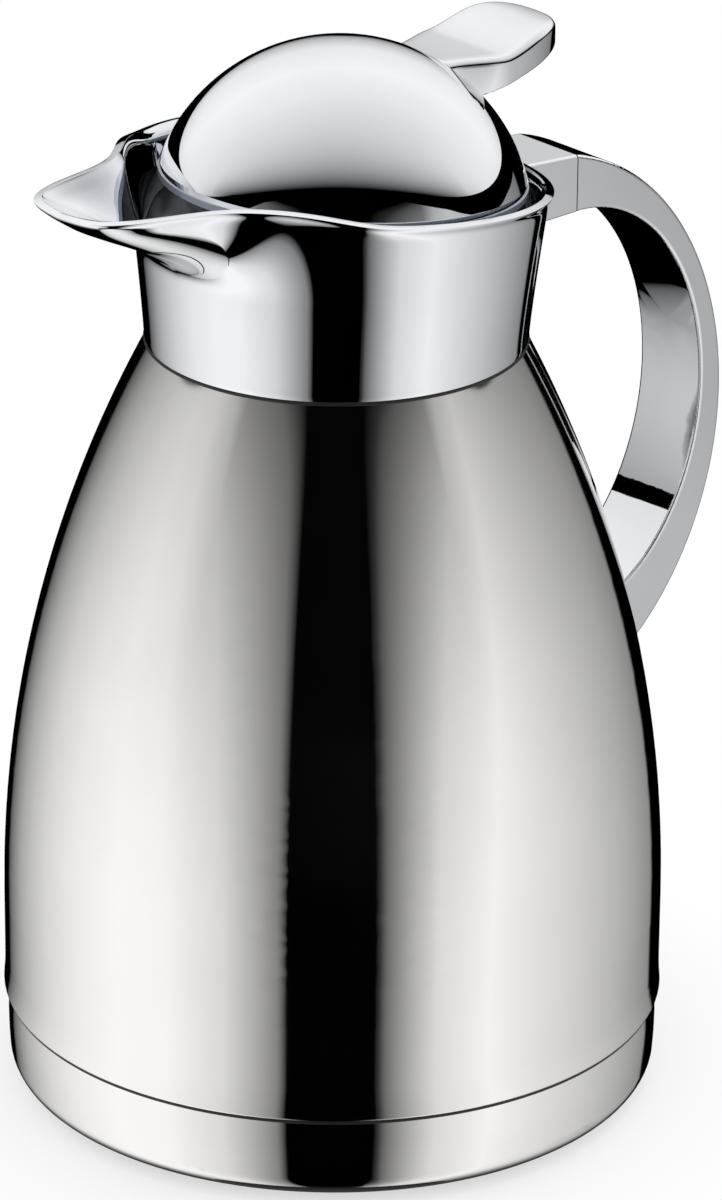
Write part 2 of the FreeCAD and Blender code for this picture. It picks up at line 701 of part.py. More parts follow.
def make_collar_skin(s):
    """The collar's wall with its spout and rolled rim, as one closed skin of two smooth halves."""
    angles = skin_angles()
    turn = 2 * math.pi
    before = [angle - turn for angle in angles[-1 - SKIN_WRAP_COUNT:-1]]
    after = [angle + turn for angle in angles[1:1 + SKIN_WRAP_COUNT]]
    across = before + angles + after
    along = way_along(skin_section(s, math.pi / 2))
    surface = spline_surface([skin_section(s, angle % turn) for angle in across], across, along)
    faces = []
    for first, last in ((0.0, math.pi), (math.pi, turn)):
        half = surface.copy()
        half.segment(first, last, along[0], along[-1])
        edges = [half.vIso(end).toShape() for end in (along[0], along[-1])]
        faces += [half.toShape(), Part.makeRuledSurface(*edges)]
    skin = Part.makeCompound(faces)
    skin.sewShape()
    feature = DOC.addObject("Part::Feature", "collar_skin")
    feature.Shape = Part.makeSolid(skin.Shells[0])
    return feature


def hinge_width(s):
    """Over the outer faces of the two hinge ears."""
    return s.knuckle_width + s.ear_width * 2 + s.seat_gap * 4


def make_lug(s):
    """The stub at the back of the collar that takes the handle."""
    half = s.handle_width / 2
    root = s.collar_radius - s.collar_wall
    blank = padded("lug_blank", "XZ_Plane", [
        (root, s.lug_bottom - s.lug_taper / 2),
        (s.lug_end, s.lug_bottom),
        (s.lug_end, s.lug_top),
        (root, s.lug_top + s.lug_taper),
    ], s.handle_width)
    smooth = rounded("lug_rounded", blank, s.handle_edge, lambda edge: long_way(edge, half.value))
    inset = s.collar_wall * 0.6
    bore = turned("collar_bore", [
        (as_dim(0), s.collar_z),
        (s.collar_radius - inset, s.collar_z),
        (s.rim_radius - inset, s.rim_z),
        (as_dim(0), s.rim_z),
    ])
    return cut("lug", smooth, bore)


def make_ears(s):
    """The two ears that hold the hinge pin, standing in from the wall."""
    parts = []
    wall_x = s.rim_radius - s.collar_wall * 1.6
    for side in (-1, 1):
        middle = (s.knuckle_width / 2 + s.ear_width / 2 + s.seat_gap * 2) * side
        low, high = middle - s.ear_width / 2, middle + s.ear_width / 2
        parts.append(cross_cylinder("ear_round", s.ear_radius, s.ear_width, s.hinge_offset, s.hinge_z,
                                    middle))
        parts.append(block("ear_block", (s.hinge_offset, low, s.hinge_z - s.ear_radius * 2),
                           (wall_x, high, s.hinge_z)))
    return parts


def make_collar(s):
    inner, outer = s.neck_radius + s.neck_root / 2, s.collar_radius - s.collar_wall * 0.3
    ledge = turned("collar_ledge", [
        (inner, s.ledge_z),
        (outer, s.ledge_z),
        (outer, s.ledge_z + s.ledge_height),
        (inner, s.ledge_z + s.ledge_height),
    ])
    body = fuse("collar_body", make_collar_skin(s), make_lug(s), ledge, *make_ears(s))
    side, up = s.tenon_width / 2 + s.seat_gap, s.tenon_height / 2 + s.seat_gap
    socket = block("lug_socket", (s.lug_end - s.tenon_length - s.seat_gap, -side, s.tenon_z - up),
                   (s.lug_end + s.seam_gap, side, s.tenon_z + up))
    head_z = s.lug_bottom + s.seam_gap + s.screw_head_height
    hole = cylinder("lug_hole", s.screw_radius + s.seat_gap, s.tenon_z - head_z, s.tenon_screw_x, None,
                    head_z)
    counterbore = cylinder("lug_counterbore", s.screw_head + s.seat_gap, s.screw_head_height * 2,
                           s.tenon_screw_x, None, head_z - s.screw_head_height * 2)
    pin_hole = cross_cylinder("ear_hole", s.pin_radius, hinge_width(s) + s.lid_gap, s.hinge_offset, s.hinge_z)
    seat = make_envelope(s, "collar_seat", s.seam_gap)
    collar = cut("pouring_collar", body, socket, hole, counterbore, pin_hole, seat)
    fixing = screw("handle_screw", s.tenon_screw_x, 0, head_z, s.tenon_z + up / 2 - head_z)
    return [collar, fixing]


def make_neck_fittings(s):
    gap = s.seat_gap
    shoulder_edge = s.shoulder(as_dim(0), s.shoulder_z)
    slope = s.shoulder_rise / (shoulder_edge - s.root_radius)
    gasket = turned("collar_gasket", [
        (s.root_radius, s.root_z + gap),
        (s.root_radius + s.gasket_width, s.root_z + gap - slope * s.gasket_width),
        (s.root_radius + s.gasket_width, s.ledge_z),
        (s.root_radius, s.ledge_z),
    ])
    chamfer = s.nut_height * 0.16
    nut_ring = turned("nut_ring", [
        (s.neck_radius + gap, s.nut_z),
        (s.nut_radius, s.nut_z),
        (s.nut_radius, s.nut_z + s.nut_height - chamfer),
        (s.nut_radius - chamfer, s.nut_z + s.nut_height),
        (s.neck_radius + gap, s.nut_z + s.nut_height),
    ])
    notch = s.nut_height * 0.4
    notches = []
    for x, y in around(as_dim(4), s.nut_radius):
        notches.append(block("nut_notch", (x - notch, y - notch, s.nut_z + s.nut_height / 2),
                             (x + notch, y + notch, s.nut_z + s.nut_height * 2)))
    nut = cut("neck_nut", nut_ring, *notches)
    seat = s.neck_top + gap / 2
    bend = s.neck_radius + s.funnel_wall / 2
    edge = s.collar_radius - s.lid_gap * 1.5
    funnel = turned("pouring_ring", [
        (s.mouth_radius + gap, seat),
        (bend, seat),
        (edge, seat - s.funnel_drop),
        (edge, seat - s.funnel_drop + s.funnel_wall),
        (bend, seat + s.funnel_wall),
        (s.mouth_radius + gap, seat + s.funnel_wall),
    ])
    return [gasket, nut, funnel]


# the handle


def long_way(edge, half_width):
    """Whether an edge lies in one of the two side faces of the strap or lug."""
    box = edge.BoundBox
    return abs(abs(box.YMin) - half_width) < 1e-4 and box.YLength < 1e-4 and edge.Length > half_width * 1.45


def ellipse_bar(s, name):
    """An elliptical bar across the jug, for the outside or the inside of the strap."""
    depth, height = getattr(s, name + "_half_depth"), getattr(s, name + "_half_height")
    curve = DOC.addObject("Part::Ellipse", name + "_ellipse")
    bind(curve, MajorRadius=height, MinorRadius=depth)
    upright = Rotation(Vector(0, 0, 1), Vector(-1, 0, 0), Vector(0, 1, 0), "XYZ")
    curve.Placement = Placement(Vector(), upright)
    centre_z = s.collar_z - getattr(s, name + "_drop")
    bind(curve, Placement__Base__x=getattr(s, name + "_centre"), Placement__Base__z=centre_z)
    bar = DOC.addObject("Part::Extrusion", name + "_bar")
    bar.Base = curve
    bar.DirMode = "Custom"
    bar.Dir = Y_AXIS
    bar.Solid = True
    bind(bar, LengthFwd=s.handle_width / 2, LengthRev=s.handle_width / 2)
    DOC.recompute()
    return bar


def make_strap(s):
    """The strap between the lug's seam and the barrel, with the tenon that enters the lug."""
    half = s.handle_width / 2
    ring = cut("handle_ring", ellipse_bar(s, "outer"), ellipse_bar(s, "inner"))
    strap = rounded("handle_strap", ring, s.handle_edge, lambda edge: long_way(edge, half.value))
    inside = block("handle_inside", (-s.barrel_radius * 2, -s.handle_width, 0),
                   (s.lug_end + s.seam_gap, s.handle_width, s.rim_z * 2))
    side, up = s.tenon_width / 2, s.tenon_height / 2
    tenon = block("handle_tenon", (s.lug_end - s.tenon_length, -side, s.tenon_z - up),
                  (s.lug_end + s.tenon_length / 2, side, s.tenon_z + up))
    return fuse("handle_body", cut("handle_end", strap, inside), tenon)


def make_handle(s):
    half_tenon = s.tenon_height / 2
    bore = cylinder("tenon_bore", s.screw_radius, s.tenon_height * 0.75 + s.seat_gap / 2, s.tenon_screw_x,
                    None, s.tenon_z - half_tenon)
    wall_x = s.shoulder(as_dim(0), s.boss_z)
    reach, size = wall_x + s.boss_reach, s.boss_size / 2
    room = size + s.seat_gap
    pocket = block("handle_pocket", (0, -room, s.boss_z - room), (reach + s.seat_gap, room, s.boss_z + room))
    foot_x = wall_x + s.boss_reach * 0.6
    head_z = s.boss_z - size - s.boss_cover
    hole = cylinder("foot_hole", s.screw_radius + s.seat_gap, s.boss_size, foot_x, None, head_z)
    counterbore = cylinder("foot_counterbore", s.screw_head + s.seat_gap, s.boss_size * 3, foot_x, None,
                           head_z - s.boss_size * 3)
    handle = cut("handle", make_strap(s), bore, make_envelope(s, "handle_seat", s.seat_gap), pocket, hole,
                 counterbore)
    blank = block("boss_block", (0, -size, s.boss_z - size), (reach, size, s.boss_z + size))
    screw_length = s.boss_size * 0.8 + s.boss_cover
    boss_bore = cylinder("boss_bore", s.screw_radius, screw_length, foot_x, None, head_z)
    boss = cut("handle_boss", blank, make_envelope(s, "boss_seat", 0.0), boss_bore)
    fixing = screw("handle_foot_screw", foot_x, 0, head_z, screw_length)
    return [handle, boss, fixing]


# the lid


def lean(s, feature):
    """Seat a lid part, drawn around the dome's centre, in the leaning frame of the lid."""
    place(feature, s.lid_offset, None, s.dome_z, (Y_AXIS, s.lid_tilt.value))
    feature.setExpression("Placement.Rotation.Angle", "%s * 1 deg" % s.lid_tilt.text)
    DOC.recompute()
    return feature


def lid_place(s, across, sideways, up):
    """A place of the leaning lid frame, as sizes of the jug's frame."""
    turn = math.radians(s.lid_tilt.value)
    across, up = as_dim(across), as_dim(up)
    x = s.lid_offset + across * math.cos(turn) + up * math.sin(turn)
    z = s.dome_z + up * math.cos(turn) - across * math.sin(turn)
    return x, as_dim(sideways), z


def cap_radius(radius, height):
    return (radius * radius - height * height).root()


def tongue(s, name, gap):
    """The tongue between the lid pan and the knuckle, grown by a gap."""
    gap = as_dim(gap)
    half = s.knuckle_width / 2 + gap
    return block(name, (s.hinge_offset - s.tongue_length, -half, s.hinge_z - s.ear_radius * 0.8 - gap),
                 (s.hinge_offset, half, s.hinge_z + s.ear_radius * 0.7 + gap))


def ear_room(s, name):
    """Room for the hinge ears in the parts of the lid."""
    return cross_cylinder(name, s.ear_radius + s.lid_gap, hinge_width(s) + s.lid_gap * 2,
                          s.hinge_offset, s.hinge_z)


def hinge_relief(s, name):
    """Room for the ears, the knuckle and its tongue in the parts above the lid pan."""
    return [ear_room(s, name + "_ears"), tongue(s, name + "_tongue", s.seat_gap)]


LEVER_SCREW = 0.7


def lever_screw_frame(s):
    """Direction of the lever screws, from the dome's centre through the lever's root."""
    angle = math.radians(s.lever_screw_angle.value)
    return Vector(math.cos(angle), 0, math.sin(angle)), (Y_AXIS, 90.0 - s.lever_screw_angle.value)


def lever_screw_places(s, radius):
    axis, _ = lever_screw_frame(s)
    for side in (-1, 1):
        yield s.lid_offset + radius * axis.x, s.lever_neck * 0.3 * side, s.dome_z + radius * axis.z


def lever_holes(s, name, gap, start, length):
    _, turn = lever_screw_frame(s)
    radius = s.screw_radius * LEVER_SCREW + gap
    return [cylinder(name, radius, length, x, y, z, turn) for x, y, z in lever_screw_places(s, start)]


def make_dome(s):
    inside = s.dome_radius - s.dome_wall
    lip = cap_radius(s.dome_radius, s.dome_base)
    inner_lip = cap_radius(inside, s.dome_base)
    shell = lean(s, turned("dome_shell", [
        (inner_lip, s.trim_top),
        (lip, s.trim_top),
        (lip, s.dome_base, s.dome_radius, 1),
        (as_dim(0), s.dome_radius),
        (as_dim(0), inside, inside, -1),
        (inner_lip, s.dome_base),
    ]))
    holes = lever_holes(s, "dome_hole", s.seat_gap, inside - s.dome_wall * 2, s.dome_wall * 4)
    dome = cut("lid_dome", shell, *hinge_relief(s, "dome_relief"), *holes)
    ring = lean(s, turned("trim_blank", [
        (s.pan_radius, s.trim_low),
        (lip + s.trim_proud, s.trim_low),
        (lip + s.trim_proud, s.trim_top),
        (s.pan_radius, s.trim_top),
    ]))
    trim = cut("lid_trim_ring", ring, *hinge_relief(s, "trim_relief"))
    return [dome, trim]


def make_lid_pan(s):
    wall, floor = s.pan_wall, s.pan_floor
    radius = s.pan_radius - s.seat_gap
    top = s.dome_base + wall / 2
    bowl = lean(s, turned("pan_bowl", [
        (as_dim(0), floor),
        (radius - s.pan_taper, floor),
        (radius, s.trim_low),
        (radius, top),
        (radius - wall, top),
        (radius - wall, s.trim_low + wall * 0.3),
        (radius - s.pan_taper - wall * 0.4, floor + wall),
        (as_dim(0), floor + wall),
    ]))
    knuckle = cross_cylinder("pan_knuckle", s.ear_radius, s.knuckle_width, s.hinge_offset, s.hinge_z)
    notched = cut("pan_notched", bowl, ear_room(s, "pan_relief"))
    body = fuse("pan_body", notched, tongue(s, "pan_tongue", 0), knuckle)
    pin_hole = cross_cylinder("knuckle_hole", s.pin_radius + s.running_gap, s.knuckle_width * 2,
                              s.hinge_offset, s.hinge_z)
    upward, downward = (Y_AXIS, s.lid_tilt.value), (Y_AXIS, s.lid_tilt.value + 180.0)
    axis = Rotation(*downward).multVec(Z_AXIS)
    holes, screws, bores = [], [], []
    for x, y in around(s.lid_screw_count, s.lid_screw_circle, 0.5):
        start, below = lid_place(s, x, y, floor + wall), lid_place(s, x, y, floor - wall)
        holes.append(cylinder("pan_hole", s.screw_radius + s.seat_gap, wall * 3, *below, upward))
        screws.append(screw("lid_screw", *start, s.lid_screw_length, downward, axis))
        bores.append(cylinder("stopper_bore", s.screw_radius, s.lid_screw_length, *start, downward))
    return cut("lid_pan", body, pin_hole, *holes), group("lid_screws", screws), bores


def make_insulation(s):
    ball = s.dome_radius - s.dome_wall - s.insulation_gap
    brow = s.trim_low + s.pan_wall
    edge = cap_radius(ball, brow)
    low = s.pan_floor + s.pan_wall + s.screw_head_height + s.seat_gap
    blank = lean(s, turned("insulation_blank", [
        (as_dim(0), low),
        (edge - s.pan_taper * 0.8, low),
        (edge, s.trim_low + s.pan_wall / 2),
        (edge, brow, ball, 1),
        (as_dim(0), ball),
    ]))
    return cut("lid_insulation", blank, tongue(s, "insulation_tongue", s.seat_gap))


def make_stopper(s, bores):
    shoulder = s.neck_top + s.funnel_wall
    low = s.neck_top - s.stopper_depth
    edge = s.stopper_depth * 0.2
    cone = turned("stopper_blank", [
        (as_dim(0), low),
        (s.stopper_tip - edge, low, edge, 1),
        (s.stopper_tip, low + edge),
        (s.stopper_radius, shoulder),
        (s.stopper_neck, shoulder),
        (s.stopper_neck, s.rim_z),
        (as_dim(0), s.rim_z),
    ])
    span = s.dome_radius * 2
    above = block("stopper_above", (-span, -span, 0), (span, span, span))
    place(above, turn=(Y_AXIS, s.lid_tilt.value))
    corner = lid_place(s, -span, 0, s.pan_floor)
    bind(above, Placement__Base__x=corner[0], Placement__Base__y=-span, Placement__Base__z=corner[2])
    stopper = cut("stopper_plug", cone, above, *bores)
    lip = s.lid_gap * 2
    seal_z = shoulder + s.lid_gap
    seal = turned("stopper_seal", [
        (s.stopper_neck + s.seat_gap, shoulder),
        (s.stopper_radius - lip, shoulder),
        (s.stopper_radius + lip, seal_z),
        (s.seal_radius, seal_z),
        (s.seal_radius, seal_z + s.seal_height / 2),
        (s.stopper_neck + s.seat_gap, seal_z + s.seal_height),
    ])
    return [stopper, seal]


def off_root(edge, root_x):
    return edge.BoundBox.XMin > root_x + 0.1


def upright(edge):
    return edge.BoundBox.XLength < 0.1 and edge.BoundBox.YLength < 0.1


def lever_rim(edge, root_x):
    """Whether an edge runs around the top or the underside of the lever."""
    return edge.BoundBox.XLength > 0.1 and edge.BoundBox.XMax > root_x + 0.1


def make_lever(s):
    half, neck = s.lever_width / 2, s.lever_neck / 2
    root_x = s.lid_offset + s.dome_radius * 0.42
    wide_x = s.lid_offset + s.dome_radius * 0.82
    end_x = s.lever_tip - s.lever_round
    end_radius = (half * half + s.lever_round * s.lever_round) / (s.lever_round * 2)
    plan = padded("lever_plan", "XY_Plane", [
        (root_x, -neck),
        (wide_x, -half, s.lever_side, 1),
        (end_x, -half, end_radius, 1),
        (end_x, half, s.lever_side, 1),
        (wide_x, half),
        (root_x, neck),
    ], s.rim_z * 4)
    rest_z = s.rim_z + s.lever_rise
    beyond = s.lever_tip + s.lever_end * 2
    profile = padded("lever_profile", "XZ_Plane", [
        (root_x, s.rim_z + s.lever_root_rise, s.lever_belly, 1),
        (beyond, rest_z - s.lever_end),
        (beyond, rest_z, s.lever_crest, 1),
        (beyond - s.lever_crest_span, rest_z, s.lever_hollow, -1),
        (root_x, rest_z - s.lever_dip),
    ], s.lever_width * 2)
    slab = rounded("lever_slab", plan, s.lever_blend,
                   lambda edge: upright(edge) and off_root(edge, root_x.value))
    blank = common("lever_blank", slab, profile)
    smooth = rounded("lever_rounded", blank, s.lever_edge, lambda edge: lever_rim(edge, root_x.value))
    ball = bind(DOC.addObject("Part::Sphere", "lever_seat"), Radius=s.dome_radius + s.running_gap)
    place(ball, s.lid_offset, None, s.dome_z)
    start = s.dome_radius - s.dome_wall
    bores = lever_holes(s, "lever_bore", 0, start, s.lever_screw_length)
    lever = cut("thumb_lever", smooth, ball, *bores)
    axis, turn = lever_screw_frame(s)
    screws = [screw("lever_screw", x, y, z, s.lever_screw_length, turn, axis, LEVER_SCREW)
              for x, y, z in lever_screw_places(s, start - s.dome_wall)]
    return [lever, group("lever_screws", screws)]


def make_hinge_pin(s):
    return cross_cylinder("hinge_pin", s.pin_radius, hinge_width(s), s.hinge_offset, s.hinge_z)


def build():
    s = SIZE
    nodes = [make_outer_shell(s), make_inner_vessel(s)]
    nodes += make_bottom(s) + make_foot(s) + make_base_cover(s)
    nodes += make_collar(s)
    nodes += make_neck_fittings(s)
    nodes += make_handle(s)
    nodes += make_dome(s)
    pan, screws, bores = make_lid_pan(s)
    nodes += [pan, screws, make_insulation(s)]
    nodes += make_stopper(s, bores)
    nodes += make_lever(s)
    nodes.append(make_hinge_pin(s))
    DOC.recompute()
    return nodes


def export(nodes):
    os.makedirs("parts", exist_ok=True)
    for node in nodes:
        faults = {"Invalid", "Error"} & set(node.State)
        if faults or node.Shape.isNull() or not node.Shape.Solids or not node.Shape.isValid():
            raise RuntimeError("%s did not build: %s" % (node.Label, sorted(node.State)))
        node.Shape.exportStep("parts/%s.step" % node.Label)
        print("%-20s %2d solids %10.1f mm3" % (node.Label, len(node.Shape.Solids), node.Shape.Volume))


export(build())
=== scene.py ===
"""Vacuum jug: finishes for its solids, a finer collar and lever, moulded details, studio and camera.

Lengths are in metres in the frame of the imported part: z up along the barrel, -x towards the spout.
"""

import math

import bmesh
import bpy
from bpy.props import FloatProperty, FloatVectorProperty, IntProperty, PointerProperty
from mathutils import Matrix, Vector


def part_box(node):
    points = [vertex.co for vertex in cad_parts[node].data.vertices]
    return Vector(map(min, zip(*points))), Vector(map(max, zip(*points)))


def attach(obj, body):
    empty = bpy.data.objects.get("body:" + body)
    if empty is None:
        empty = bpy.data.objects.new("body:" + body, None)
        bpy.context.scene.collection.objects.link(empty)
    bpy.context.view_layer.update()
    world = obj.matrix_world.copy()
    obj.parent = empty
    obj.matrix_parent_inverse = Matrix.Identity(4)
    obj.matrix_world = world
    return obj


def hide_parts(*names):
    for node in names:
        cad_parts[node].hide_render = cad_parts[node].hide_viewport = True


bl_info = {
    "name": "Vacuum jug",
    "version": (1, 0, 0),
    "blender": (4, 5, 0),
    "location": "View3D > Sidebar > Jug",
    "description": "Finishes, details and studio of a steel vacuum jug with a hinged lid",
    "category": "Object",
}

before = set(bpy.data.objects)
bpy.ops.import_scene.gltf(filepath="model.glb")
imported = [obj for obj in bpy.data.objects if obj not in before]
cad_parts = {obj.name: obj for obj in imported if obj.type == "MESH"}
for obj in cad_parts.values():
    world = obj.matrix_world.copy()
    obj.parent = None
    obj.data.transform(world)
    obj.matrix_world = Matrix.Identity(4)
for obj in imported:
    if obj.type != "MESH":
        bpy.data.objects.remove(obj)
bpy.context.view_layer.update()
MM = 0.001
MICRON = 0.000001
COLLAR_LOW, COLLAR_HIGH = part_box("pouring_collar")
HANDLE_LOW, HANDLE_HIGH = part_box("handle")
PAD_LOW, PAD_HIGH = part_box("base_pad")
PIN_LOW, PIN_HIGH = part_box("hinge_pin")
LEVER_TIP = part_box("thumb_lever")[1][0]
FOOT_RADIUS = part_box("foot_ring")[1][1]
BARREL_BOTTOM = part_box("outer_shell")[0][2]

# The photograph's view, fitted to the circles of foot, barrel and collar.
IMAGE_HEIGHT_PX = 1200
FOCAL_PX = 6550.8
SENSOR = 36.0
VIEW_TURN = math.radians(41.0)
VIEW_PITCH = math.radians(22.91)
VIEW_ROLL = math.radians(0.493)
VIEW_PLACE = (-0.7833, -0.9091, 0.6083)

# Lit sheets of the tent, in degrees round from the camera or, for the roof, over from it: the brightest
# place and its level, the sheet's edges, and towards each edge how far the light would take to fall to
# nothing and how sharply it bends on the way.
LEFT_SHEET = {"peak": -63, "level": 1.08, "edges": (-138, -14), "falls": ((79, 1.75), (53, 2.5))}
RIGHT_SHEET = {"peak": 48.5, "level": 1.03, "edges": (14.6, 131), "falls": ((35.5, 2.1), (115, 0.9))}
ROOF_SHEET = {"peak": 125, "level": 1.03, "edges": (8, 178), "falls": ((125, 1.2), (64, 2.7))}
# The side sheets hang close round the jug: their distance from its axis, the height at which half their
# light is left, how far they draw apart at a height, how that bends on the way up and at which turns from
# the camera it starts, is full and ends, and the top of the wall with its dark hem, which is highest
# before the camera and falls to the back.
WALL_RADIUS = 0.21
WALL_LOW = -0.6
HALF_LIGHT_HEIGHT = 0.28
DRAW_APART = math.radians(27)
DRAW_APART_HEIGHT = 0.24
DRAW_APART_BEND = 1.5
DRAW_APART_START = math.radians(12)
DRAW_APART_FULL = math.radians(50)
DRAW_APART_END = math.radians(100)
WALL_TOP = 0.212
WALL_RISE = 0.15
WALL_SPREAD = math.radians(70)
WALL_BEND = 2.3
HEM = 0.028
# The roof sheet's lower edge over the camera, how fast it comes down to the sides, and how soft it is.
BROW_HEIGHT = math.radians(43)
BROW_FALL = 0.225
BROW_LOWEST = math.radians(-2)
BROW_SOFTNESS = math.radians(7)
BROW_LEAST_SOFTNESS = math.radians(4)
# The floor: where it turns from lit paper to plain white, and where its shade round the foot ends. Then
# the lamp overhead.
FLOOR_RADIUS = 1.5
FLOOR_COLUMNS = 96
FLOOR_DROP = 0.2 * MM
FLOOR_ROUGHNESS = 0.9
FLOOR_WHITE = (50 * MM, 120 * MM)
FLOOR_WHITE_LEAST = 0.6
FLOOR_SHADE = (62 * MM, 68 * MM)
FLOOR_SHADE_LEVEL = 0.05
LAMP_SIZE = 1.2
LAMP_PLACE = (0.2, -0.1, 1.6)

# Rules of the collar's skin: how rows gather at the rim, how square the spout is in plan, how it curls
# out, the depth of the lip and the bow of the wall as shares of the height, and the spread of the crest.
ROW_GATHER = 1.5
SPOUT_SQUARE = 4.0
SPOUT_CURL = 1.85
SPOUT_REACH = 1.8
LIP_DEPTH = 0.035
WALL_BOW = 1.15
CREST_SPREAD = math.radians(32.2)
COLLAR_RULE = (
    ("left", "SUBTRACT", 0.5, "up"),
    ("below", "POWER", "left", ROW_GATHER),
    ("level", "SUBTRACT", 1.0, "below"),
    ("swing", "ABSOLUTE", "turn", 0.0),
    ("swing_share", "DIVIDE", "swing", "spread"),
    ("aside", "POWER", "swing_share", SPOUT_SQUARE),
    ("aside_more", "ADD", "aside", 1.0),
    ("reach", "DIVIDE", "spout", "aside_more"),
    ("over_start", "SUBTRACT", "level", "start"),
    ("spout_part", "SUBTRACT", 1.0, "start"),
    ("over_share", "DIVIDE", "over_start", "spout_part"),
    ("risen", "MAXIMUM", "over_share", 0.0),
    ("curl", "POWER", "risen", SPOUT_CURL),
    ("curl_left", "SUBTRACT", 1.0, "curl"),
    ("held_back", "POWER", "curl_left", SPOUT_REACH),
    ("lift", "SUBTRACT", 1.0, "held_back"),
    ("lip_share", "DIVIDE", "below", LIP_DEPTH),
    ("lip_square", "POWER", "lip_share", 2.0),
    ("lip_fall", "MULTIPLY", "lip_square", -1.0),
    ("lip_near", "EXPONENT", "lip_fall", 0.0),
    ("lip_step", "SUBTRACT", "lip_near", 1.0),
    ("lip_part", "MULTIPLY", "lip_step", "level"),
    ("lip_set", "MULTIPLY", "lip_part", "lip"),
    ("bowed_level", "POWER", "level", WALL_BOW),
    ("opened", "MULTIPLY", "taper", "bowed_level"),
    ("wall", "ADD", "low_radius", "opened"),
    ("lipped", "ADD", "wall", "lip_set"),
    ("drawn", "MULTIPLY", "reach", "lift"),
    ("radius", "ADD", "lipped", "drawn"),
    ("cosine", "COSINE", "turn", 0.0),
    ("sine", "SINE", "turn", 0.0),
    ("rim_circle", "ADD", "low_radius", "taper"),
    ("rim_reach", "ADD", "rim_circle", "reach"),
    ("rim_out", "MULTIPLY", "rim_reach", "cosine"),
    ("rim_level", "MULTIPLY", "rim_bow", "rim_out"),
    ("rim_rise", "SUBTRACT", "rim_slope", "rim_level"),
    ("rim_sloped", "MULTIPLY", "rim_out", "rim_rise"),
    ("flank", "SUBTRACT", "swing", "crest_turn"),
    ("flank_share", "DIVIDE", "flank", CREST_SPREAD),
    ("flank_square", "MULTIPLY", "flank_share", "flank_share"),
    ("flank_fourth", "MULTIPLY", "flank_square", "flank_square"),
    ("crest_fall", "MULTIPLY", "flank_fourth", -1.0),
    ("crest_share", "EXPONENT", "crest_fall", 0.0),
    ("crested", "MULTIPLY", "crest_share", "crest"),
    ("rim_waved", "ADD", "rim", "crested"),
    ("rim_height", "ADD", "rim_waved", "rim_sloped"),
    ("wall_height", "SUBTRACT", "rim_height", "low"),
    ("climb", "MULTIPLY", "level", "wall_height"),
    ("height", "ADD", "low", "climb"),
    ("out", "MULTIPLY", "radius", -1.0),
    ("x", "MULTIPLY", "out", "cosine"),
    ("y", "MULTIPLY", "out", "sine"),
)
# Rule of the roof sheet's light from a direction's parts: its turn round from the camera and over from it.
ROOF_RULE = (
    ("front", "MULTIPLY", "away", -1.0),
    ("around", "ARCTAN2", "right", "front"),
    ("over", "ARCCOSINE", "front", 0.0),
    ("over_share", "DIVIDE", "over", math.pi),
    ("around_square", "MULTIPLY", "around", "around"),
    ("brow_drop", "MULTIPLY", "around_square", BROW_FALL),
    ("brow_any", "SUBTRACT", BROW_HEIGHT, "brow_drop"),
    ("brow", "MAXIMUM", "brow_any", BROW_LOWEST),
    ("raised", "ARCSINE", "up", 0.0),
    ("above", "SUBTRACT", "raised", "brow"),
    ("depth", "MAXIMUM", "above", 0.0),
    ("facing", "MAXIMUM", "front", 0.0),
    ("facing_root", "SQRT", "facing", 0.0),
    ("softness_part", "MULTIPLY", "facing_root", BROW_SOFTNESS),
    ("softness", "ADD", "softness_part", BROW_LEAST_SOFTNESS),
    ("depth_share", "DIVIDE", "depth", "softness"),
    ("edge_fall", "MULTIPLY", "depth_share", -1.0),
    ("edge_left", "EXPONENT", "edge_fall", 0.0),
    ("edge", "SUBTRACT", 1.0, "edge_left"),
)
# Rule of the turn at which a place on the side wall reads its sheet, and of the light left at its height.
WALL_RULE = (
    ("front", "MULTIPLY", "away", -1.0),
    ("around", "ARCTAN2", "right", "front"),
    ("side", "SIGN", "around", 0.0),
    ("swing", "ABSOLUTE", "around", 0.0),
    ("high", "MAXIMUM", "up", 0.0),
    ("high_share", "DIVIDE", "high", DRAW_APART_HEIGHT),
    ("high_part", "POWER", "high_share", DRAW_APART_BEND),
    ("swing_past", "SUBTRACT", "swing", DRAW_APART_START),
    ("swing_gain", "DIVIDE", "swing_past", DRAW_APART_FULL - DRAW_APART_START),
    ("swing_short", "SUBTRACT", DRAW_APART_END, "swing"),
    ("swing_loss", "DIVIDE", "swing_short", DRAW_APART_END - DRAW_APART_FULL),
    ("swing_least", "MINIMUM", "swing_gain", "swing_loss"),
    ("swing_part", "MAXIMUM", "swing_least", 0.0),
    ("apart_most", "MULTIPLY", "high_part", DRAW_APART),
    ("apart", "MULTIPLY", "apart_most", "swing_part"),
    ("swing_left", "SUBTRACT", "swing", "apart"),
    ("swing_drawn", "MAXIMUM", "swing_left", 0.0),
    ("drawn", "MULTIPLY", "side", "swing_drawn"),
    ("fade_share", "DIVIDE", "high", HALF_LIGHT_HEIGHT),
    ("fade_square", "MULTIPLY", "fade_share", "fade_share"),
    ("fade_whole", "ADD", "fade_square", 1.0),
    ("fade", "DIVIDE", 1.0, "fade_whole"),
)
# Rule of the heights along a screw, from the middle of its head, and of the recess, cut from below.
SCREW_RULE = (
    ("bottom", "MULTIPLY", "head_height", -0.5),
    ("through", "MULTIPLY", "depth", 2.0),
    ("stack", "ADD", "head_height", "length"),
    ("shank_middle", "MULTIPLY", "stack", 0.5),
)
# The collar's fittings: how far an ear goes down at the wall, in ear radii, its steps round half a turn,
# and the room round, below and above the lower face of a screw's head.
EAR_FOOT = 2.0
EAR_STEPS = 12
BORE_CLEARANCE = 0.2 * MM
BORE_BELOW = 5 * MM
BORE_ABOVE = 2 * MM
